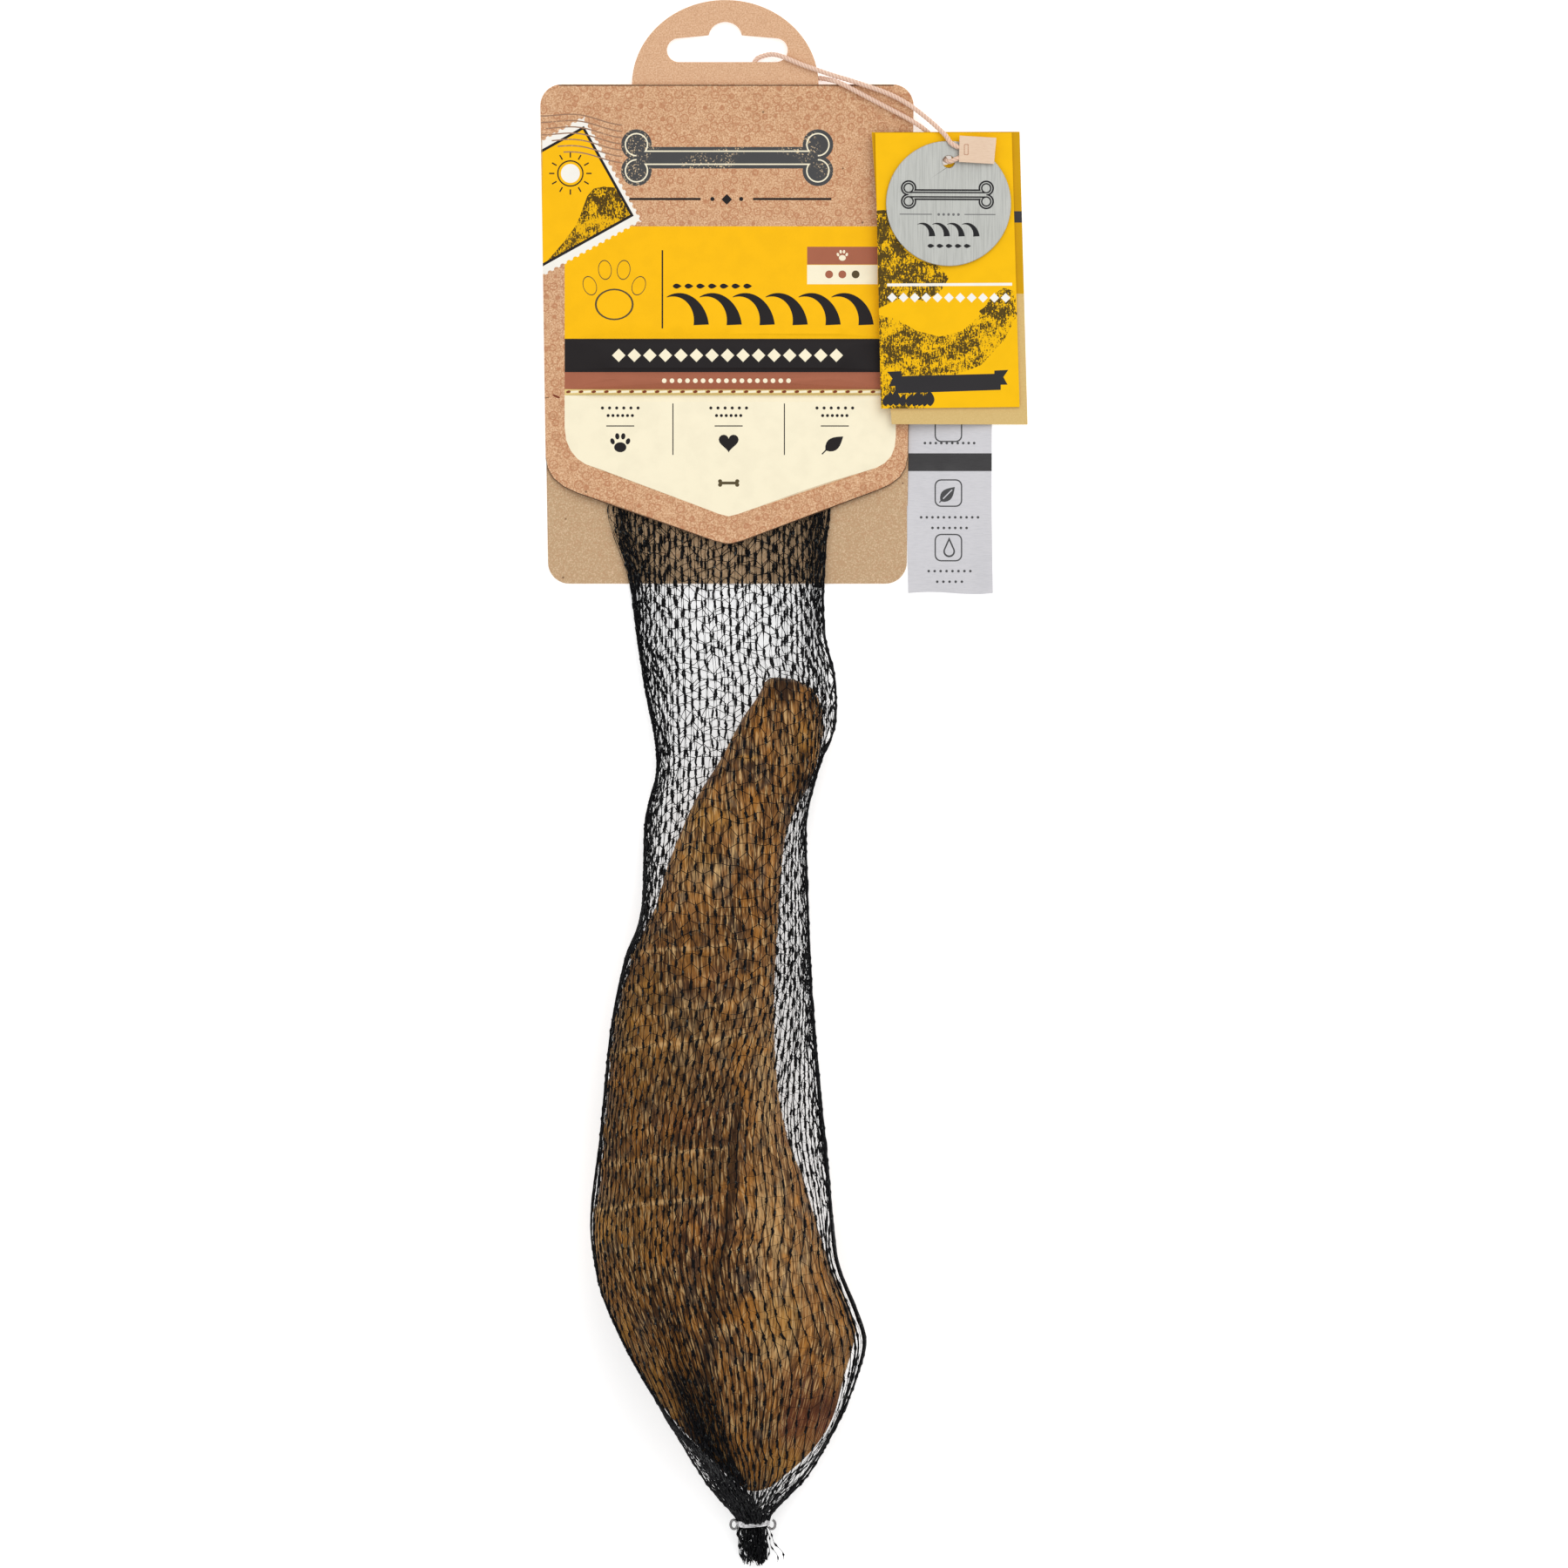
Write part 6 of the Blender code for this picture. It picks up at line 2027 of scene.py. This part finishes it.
@dataclass
class SwingTags:
    """Two tag leaves, the metal disc on them and the folded label on the cord."""

    lean_z: float = 2.7
    lean_x: float = 34.3
    lean_slope: float = 0.0867
    leaf_thickness: float = 0.4
    disc_thickness: float = 0.8
    gap: float = 0.25
    back_leaf: str = "23.1 171.9, 28.4 94.9, 64.3 94.9, 62.2 172.2"
    front_leaf: str = "24 171.7, 25.6 99, 62.2 99.5, 60.1 171.9"
    leaf_hole: Point2 = (42.3, 165.2)
    leaf_hole_radius: float = 1.9
    disc_centre: Point2 = (43.4, 153.1)
    disc_radius: float = 16.5
    disc_hole: Point2 = (43.4, 164.1)
    disc_hole_radius: float = 1.6
    disc_edge: float = 0.16
    crown: str = """22 151, 28 151.5, 29.5 147.5, 33 144, 31.5 141, 35.5 138, 40.5 137, 43.5 133.5,
        41 129.5, 36.5 127.5, 31.5 128.5, 22 124"""
    slope: str = """22 99, 22 124, 29 123, 35 119.5, 41 118, 47 119.5, 51.5 123.5, 55 129, 58 131, 60.8 130,
        61.6 124, 58 117, 52 110.5, 43 107, 38 103, 37 98"""
    bushes: str = "30.5 116 5.2, 38 113.6 4.2, 45.4 114.2 3.6, 55.4 124.6 3.4"
    banner: tuple[str, ...] = (
        "27.6 104.9, 31 105, 31 108.9, 27.2 108.7, 28.6 106.9",
        "55.5 105.3, 59 105.4, 57.9 107.4, 59.2 109.3, 55.5 109.1",
        "29.3 103, 57.2 104, 57.2 108.3, 29.3 107.5",
    )
    label_corners: str = "46.3 170.9, 46.1 164, 55.4 163.5, 56 170.4"
    label_rows: int = 9
    label_outer: str = """0 0, 0.3 0, 0.6 0.02, 0.9 0.05, 0.97 0.22, 1 0.714, 0.985 1.122, 0.94 1.36,
        0.8 1.496, 0.5 1.632, 0 1.7"""
    label_inner: str = """0 1.4, 0.5 1.332, 0.8 1.196, 0.92 1.054, 0.955 0.714, 0.93 0.36, 0.6 0.32,
        0.3 0.3, 0 0.3"""
    stitches: str = "47.55 165.9, 48.55 165.9, 48.55 168.6, 47.55 168.6"
    stitch_pitch: float = 0.55
    stitch_rise: float = 1.6745

    def lean(self, x: float | np.ndarray) -> float | np.ndarray:
        """Return the height of the leaning plane that the tags lie in."""
        return self.lean_z - self.lean_slope * (x - self.lean_x)

    def build(self) -> None:
        """Add the leaves, the disc and the label."""
        front_z = self.leaf_thickness + self.gap
        disc_z = front_z + self.leaf_thickness + self.gap
        label_z = disc_z + self.disc_thickness + self.gap
        self.build_back_leaf()
        self.build_front_leaf(front_z)
        self.build_disc(disc_z)
        self.build_label(label_z)
        self.build_stitches(label_z)

    def build_back_leaf(self) -> None:
        """Add the rear leaf: dark yellow above, tan below, with a dark band."""
        inks = {
            "tan": Kraft("tag tan card", (0.66, 0.47, 0.19), (0.57, 0.39, 0.15), (0.74, 0.55, 0.26),
                         grain=0.3),
            "yellow": Ink("shaded yellow ink", (0.62, 0.33, 0.002)),
            "black": Ink("tag band ink", (0.045, 0.043, 0.046)),
        }
        sheet = Sheet("tag_back", table(self.back_leaf), lambda x, y: self.lean(x), self.leaf_thickness, inks,
                      [oval(*self.leaf_hole, self.leaf_hole_radius)])
        sheet.boxes("yellow", "20 129.4 66 174")
        sheet.boxes("black", "20 148.2 66 151.2")
        sheet.boxes("yellow", "24.6 147 58.8 152")
        settle(sheet.build(), Slot.TAG_BACK, "tag_leaf_back")

    def build_front_leaf(self, height: float) -> None:
        """Add the front leaf with its drawn hills, bushes and plain banner.

        Args:
            height: How far over the leaning plane its underside lies.
        """
        yellow, dark = (0.93, 0.515, 0.002), (0.040, 0.028, 0.010)
        inks = {
            "yellow": Ink("tag yellow ink", yellow),
            "dark": Drawing("drawn bushes", yellow, dark, 0.66),
            "soft": Drawing("drawn slopes", yellow, dark, 0.44),
            "black": Ink("banner ink", (0.030, 0.028, 0.030)),
            "white": Ink("white ink", (0.90, 0.88, 0.83)),
        }
        sheet = Sheet("tag_front", table(self.front_leaf), lambda x, y: self.lean(x) + height,
                      self.leaf_thickness, inks, [oval(*self.leaf_hole, self.leaf_hole_radius)])
        sheet.mark("dark", table(self.crown))
        sheet.mark("soft", table(self.slope))
        for x, y, size in table(self.bushes):
            bush = []
            for t in (2 * math.pi * i / 30 for i in range(30)):
                across = x + size * (1.0 + 0.16 * math.sin(5 * t + x)) * math.cos(t)
                bush.append((across, y + size * 0.62 * (1.0 + 0.16 * math.sin(4 * t + y)) * math.sin(t)))
            sheet.mark("dark", bush)
        for index in range(9):
            size, lean = 3.2 + 1.3 * math.sin(index * 2.2) ** 2, 80 + 14 * math.sin(index)
            sheet.mark("black", Motif(26.6 + index * 1.5, 99.6, size, lean).leaf())
        sheet.mark("white", stroke(table("27.2 131.6, 60.2 131.9"), 0.75))
        sheet.row("white", 11, 28.5, 3.0, lambda x: Motif(x, 128.3, 1.8).diamond())
        sheet.mark("black", *(table(part) for part in self.banner))
        settle(sheet.build(), Slot.TAG_FRONT, "tag_leaf_front")

    def build_disc(self, height: float) -> None:
        """Add the brushed disc with its engraved bone and rules.

        Args:
            height: How far over the leaning plane its underside lies.
        """
        x, y = self.disc_centre
        inks = {
            "steel": BrushedSteel(),
            "black": Ink("engraved fill", (0.020, 0.020, 0.021)),
            "grey": Ink("etched line", (0.16, 0.16, 0.16)),
        }
        outline = oval(x, y, self.disc_radius, steps=160)
        sheet = Sheet("disc_plate", outline, lambda x, y: self.lean(x) + height, self.disc_thickness, inks,
                      [oval(*self.disc_hole, self.disc_hole_radius, steps=40)])
        for inset, ink in ((0.0, "black"), (0.45, "steel"), (0.66, "black"), (1.05, "steel")):
            sheet.mark(ink, *Motif(x - 0.3, y + 2.3, 24.6).bone(7.6, inset))
        sheet.boxes("grey", "30.5 150.1 39 150.35, 47.6 150.1 55.8 150.35")
        sheet.row("grey", 5, x - 2.6, 1.3, lambda x: oval(x, y - 2.9, 0.36, steps=12))
        sheet.row("black", 4, x - 4.6, 3.9, lambda x: Motif(x, y - 8.9, 3.9).horn())
        sheet.row("black", 5, x - 5.6, 2.4, lambda x: Motif(x, y - 11.2, 1.9).leaf())
        piece = sheet.build()
        bevel = piece.modifiers.new("edge", "BEVEL")
        bevel.width = self.disc_edge * MM
        bevel.segments = 2
        bevel.limit_method = "ANGLE"
        bevel.angle_limit = math.radians(50)
        settle(piece, Slot.DISC, "metal_disc")

    def build_label(self, height: float) -> None:
        """Add the label: satin folded in two over the cord's ends.

        Args:
            height: How far over the leaning plane its underside lies.
        """
        far, near, right_near, right_far = np.array(table(self.label_corners))
        outer, inner = table(self.label_outer), table(self.label_inner)
        across, rise = np.array(outer + inner).T
        low, high = near + (right_near - near) * across[:, None], far + (right_far - far) * across[:, None]
        share = np.arange(self.label_rows)[:, None, None] / (self.label_rows - 1)
        place = low + (high - low) * share
        z = self.lean(place[..., :1]) + height + rise[:, None]
        count, split = len(rise), len(outer)
        faces = lofted(self.label_rows, count)
        for i in range(split - 1):
            j, k = count - 1 - i, max(count - 2 - i, split)
            first = (i, i + 1, k, j) if k != j else (i, i + 1, j)
            faces += [first[::-1], tuple(index + (self.label_rows - 1) * count for index in first)]
        satin = Satin("label satin", (0.80, 0.61, 0.455), (0.70, 0.50, 0.355)).make()
        points = np.concatenate((place, z), -1).reshape(-1, 3)
        settle(new_piece("label_fold", points, faces, [satin], smooth_degrees=50.0), Slot.LABEL, "cord_label")

    def build_stitches(self, height: float) -> None:
        """Add the stitches that close the label round the cord's ends.

        Args:
            height: How far over the leaning plane its underside lies.
        """
        corners = np.array(table(self.stitches))
        lines = []
        for start, end in zip(corners, np.roll(corners, -1, axis=0)):
            count = max(round(float(np.linalg.norm(end - start)) / self.stitch_pitch), 2)
            for index in range(count):
                share = (index + np.array([[0.12], [0.5], [0.88]])) / count
                place = start + (end - start) * share
                z = self.lean(place[:, :1]) + height + self.stitch_rise + np.array([[-0.03], [0.05], [-0.03]])
                lines.append(np.hstack((place, z)))
        path = np.array(lines)
        made, faces = tubes(path, upwards(path), np.full(path.shape[:2], 0.11), 6)
        thread = Satin("label thread", (0.60, 0.34, 0.22), (0.50, 0.27, 0.17)).make()
        settle(new_piece("label_stitches", made, faces, [thread], smooth_degrees=60.0), Slot.LABEL)


@dataclass
class CareRibbon:
    """The white satin ribbon that hangs behind the tags."""

    tags: SwingTags
    thickness: float = 0.3
    top_y: float = 169.0
    foot_y: float = 50.4
    width: float = 22.4
    left: Curve = curve("50.4 32.75, 75 32.45, 100 32.5, 135 33.6, 169 34.9")
    ramp_y: Point2 = (138.0, 158.0)
    lowest: float = 0.05
    hole: Point2 = (41.9, 165.5)
    hole_radius: float = 3.0
    dot_rows: str = "70.4 15, 67.6 9, 56.2 11, 53.4 6.5, 90 13"

    def low(self, x: float, y: float) -> float:
        """Read the ribbon's underside: flat on the surface, and lifted under the tags.

        Args:
            x: The place across.
            y: The place along.

        Returns:
            Its height.
        """
        lifted = float(smoothstep(*self.ramp_y, y))
        raised = self.tags.lean(x) - self.tags.gap - self.thickness
        ripple = 0.12 * (1.0 + math.sin(y * 0.16 + x * 0.11)) * float(smoothstep(92.0, 70.0, y))
        return self.lowest + (raised - self.lowest) * lifted + ripple

    def build(self) -> None:
        """Add the ribbon with its plain dark band and three small pictures."""
        foot_x = float(self.left(self.foot_y))
        outline = [(foot_x + self.width * i / 8, self.foot_y + 0.3 * math.sin(i * 0.75)) for i in range(8)]
        side = [(float(self.left(y)), y) for y in np.linspace(self.foot_y, self.top_y, 24).tolist()]
        outline += [(x + self.width, y) for x, y in side] + side[::-1]
        inks = {
            "satin": Satin("white satin", (0.625, 0.615, 0.64), (0.53, 0.525, 0.55)),
            "band": Satin("printed band", (0.040, 0.038, 0.040), (0.030, 0.029, 0.030)),
            "line": Ink("ribbon print", (0.075, 0.075, 0.078)),
        }
        sheet = Sheet("ribbon_strip", outline, self.low, self.thickness, inks,
                      [oval(*self.hole, self.hole_radius)], grid=2.6, under="satin")
        sheet.mark("band", box_of(foot_x - 1.0, 82.6, foot_x + self.width + 2.0, 87.3))
        for y in (76.8, 62.4, 93.9):
            sheet.mark("line", Motif(43.4, y, 7.3).square(1.7))
            sheet.mark("satin", Motif(43.4, y, 6.6).square(1.4))
        sheet.mark("line", Motif(41.3, 74.6, 5.4, 45).leaf(), stroke(table("41 74.3, 42 75.3"), 0.3))
        sheet.mark("satin", stroke(table("42 75.3, 44.4 77.7"), 0.28))
        drop = arc((43.6, 61.4), 1.55, 1.55, 150, 390, 18) + [(43.6, 65.2)]
        sheet.mark("line", drop)
        sheet.mark("satin", shrunk(drop, 0.72, (43.6, 61.6)))
        for y, width in table(self.dot_rows):
            count, start = round(width / 1.35), 43.7 - width / 2
            pitch = width / (count - 1)
            sheet.row("line", count, start, pitch, lambda x, y=y: oval(x, y, 0.36, steps=10))
        piece = settle(sheet.build(), Slot.RIBBON, "care_ribbon")


def main() -> None:
    """Build the studio and every piece."""
    logging.basicConfig(level=logging.INFO, format="%(message)s")
    studio = Studio()
    studio.camera()
    HangCord().build()
    studio.floor()
    studio.lights()
    card = HeaderCard()
    card.build_back()
    card.build_front()
    shape = HornShape()
    Horn(shape).build()
    NetSleeve(shape).build()
    TieClip().build()
    tags = SwingTags()
    tags.build()
    CareRibbon(tags).build()


if __name__ == "__main__":
    main()
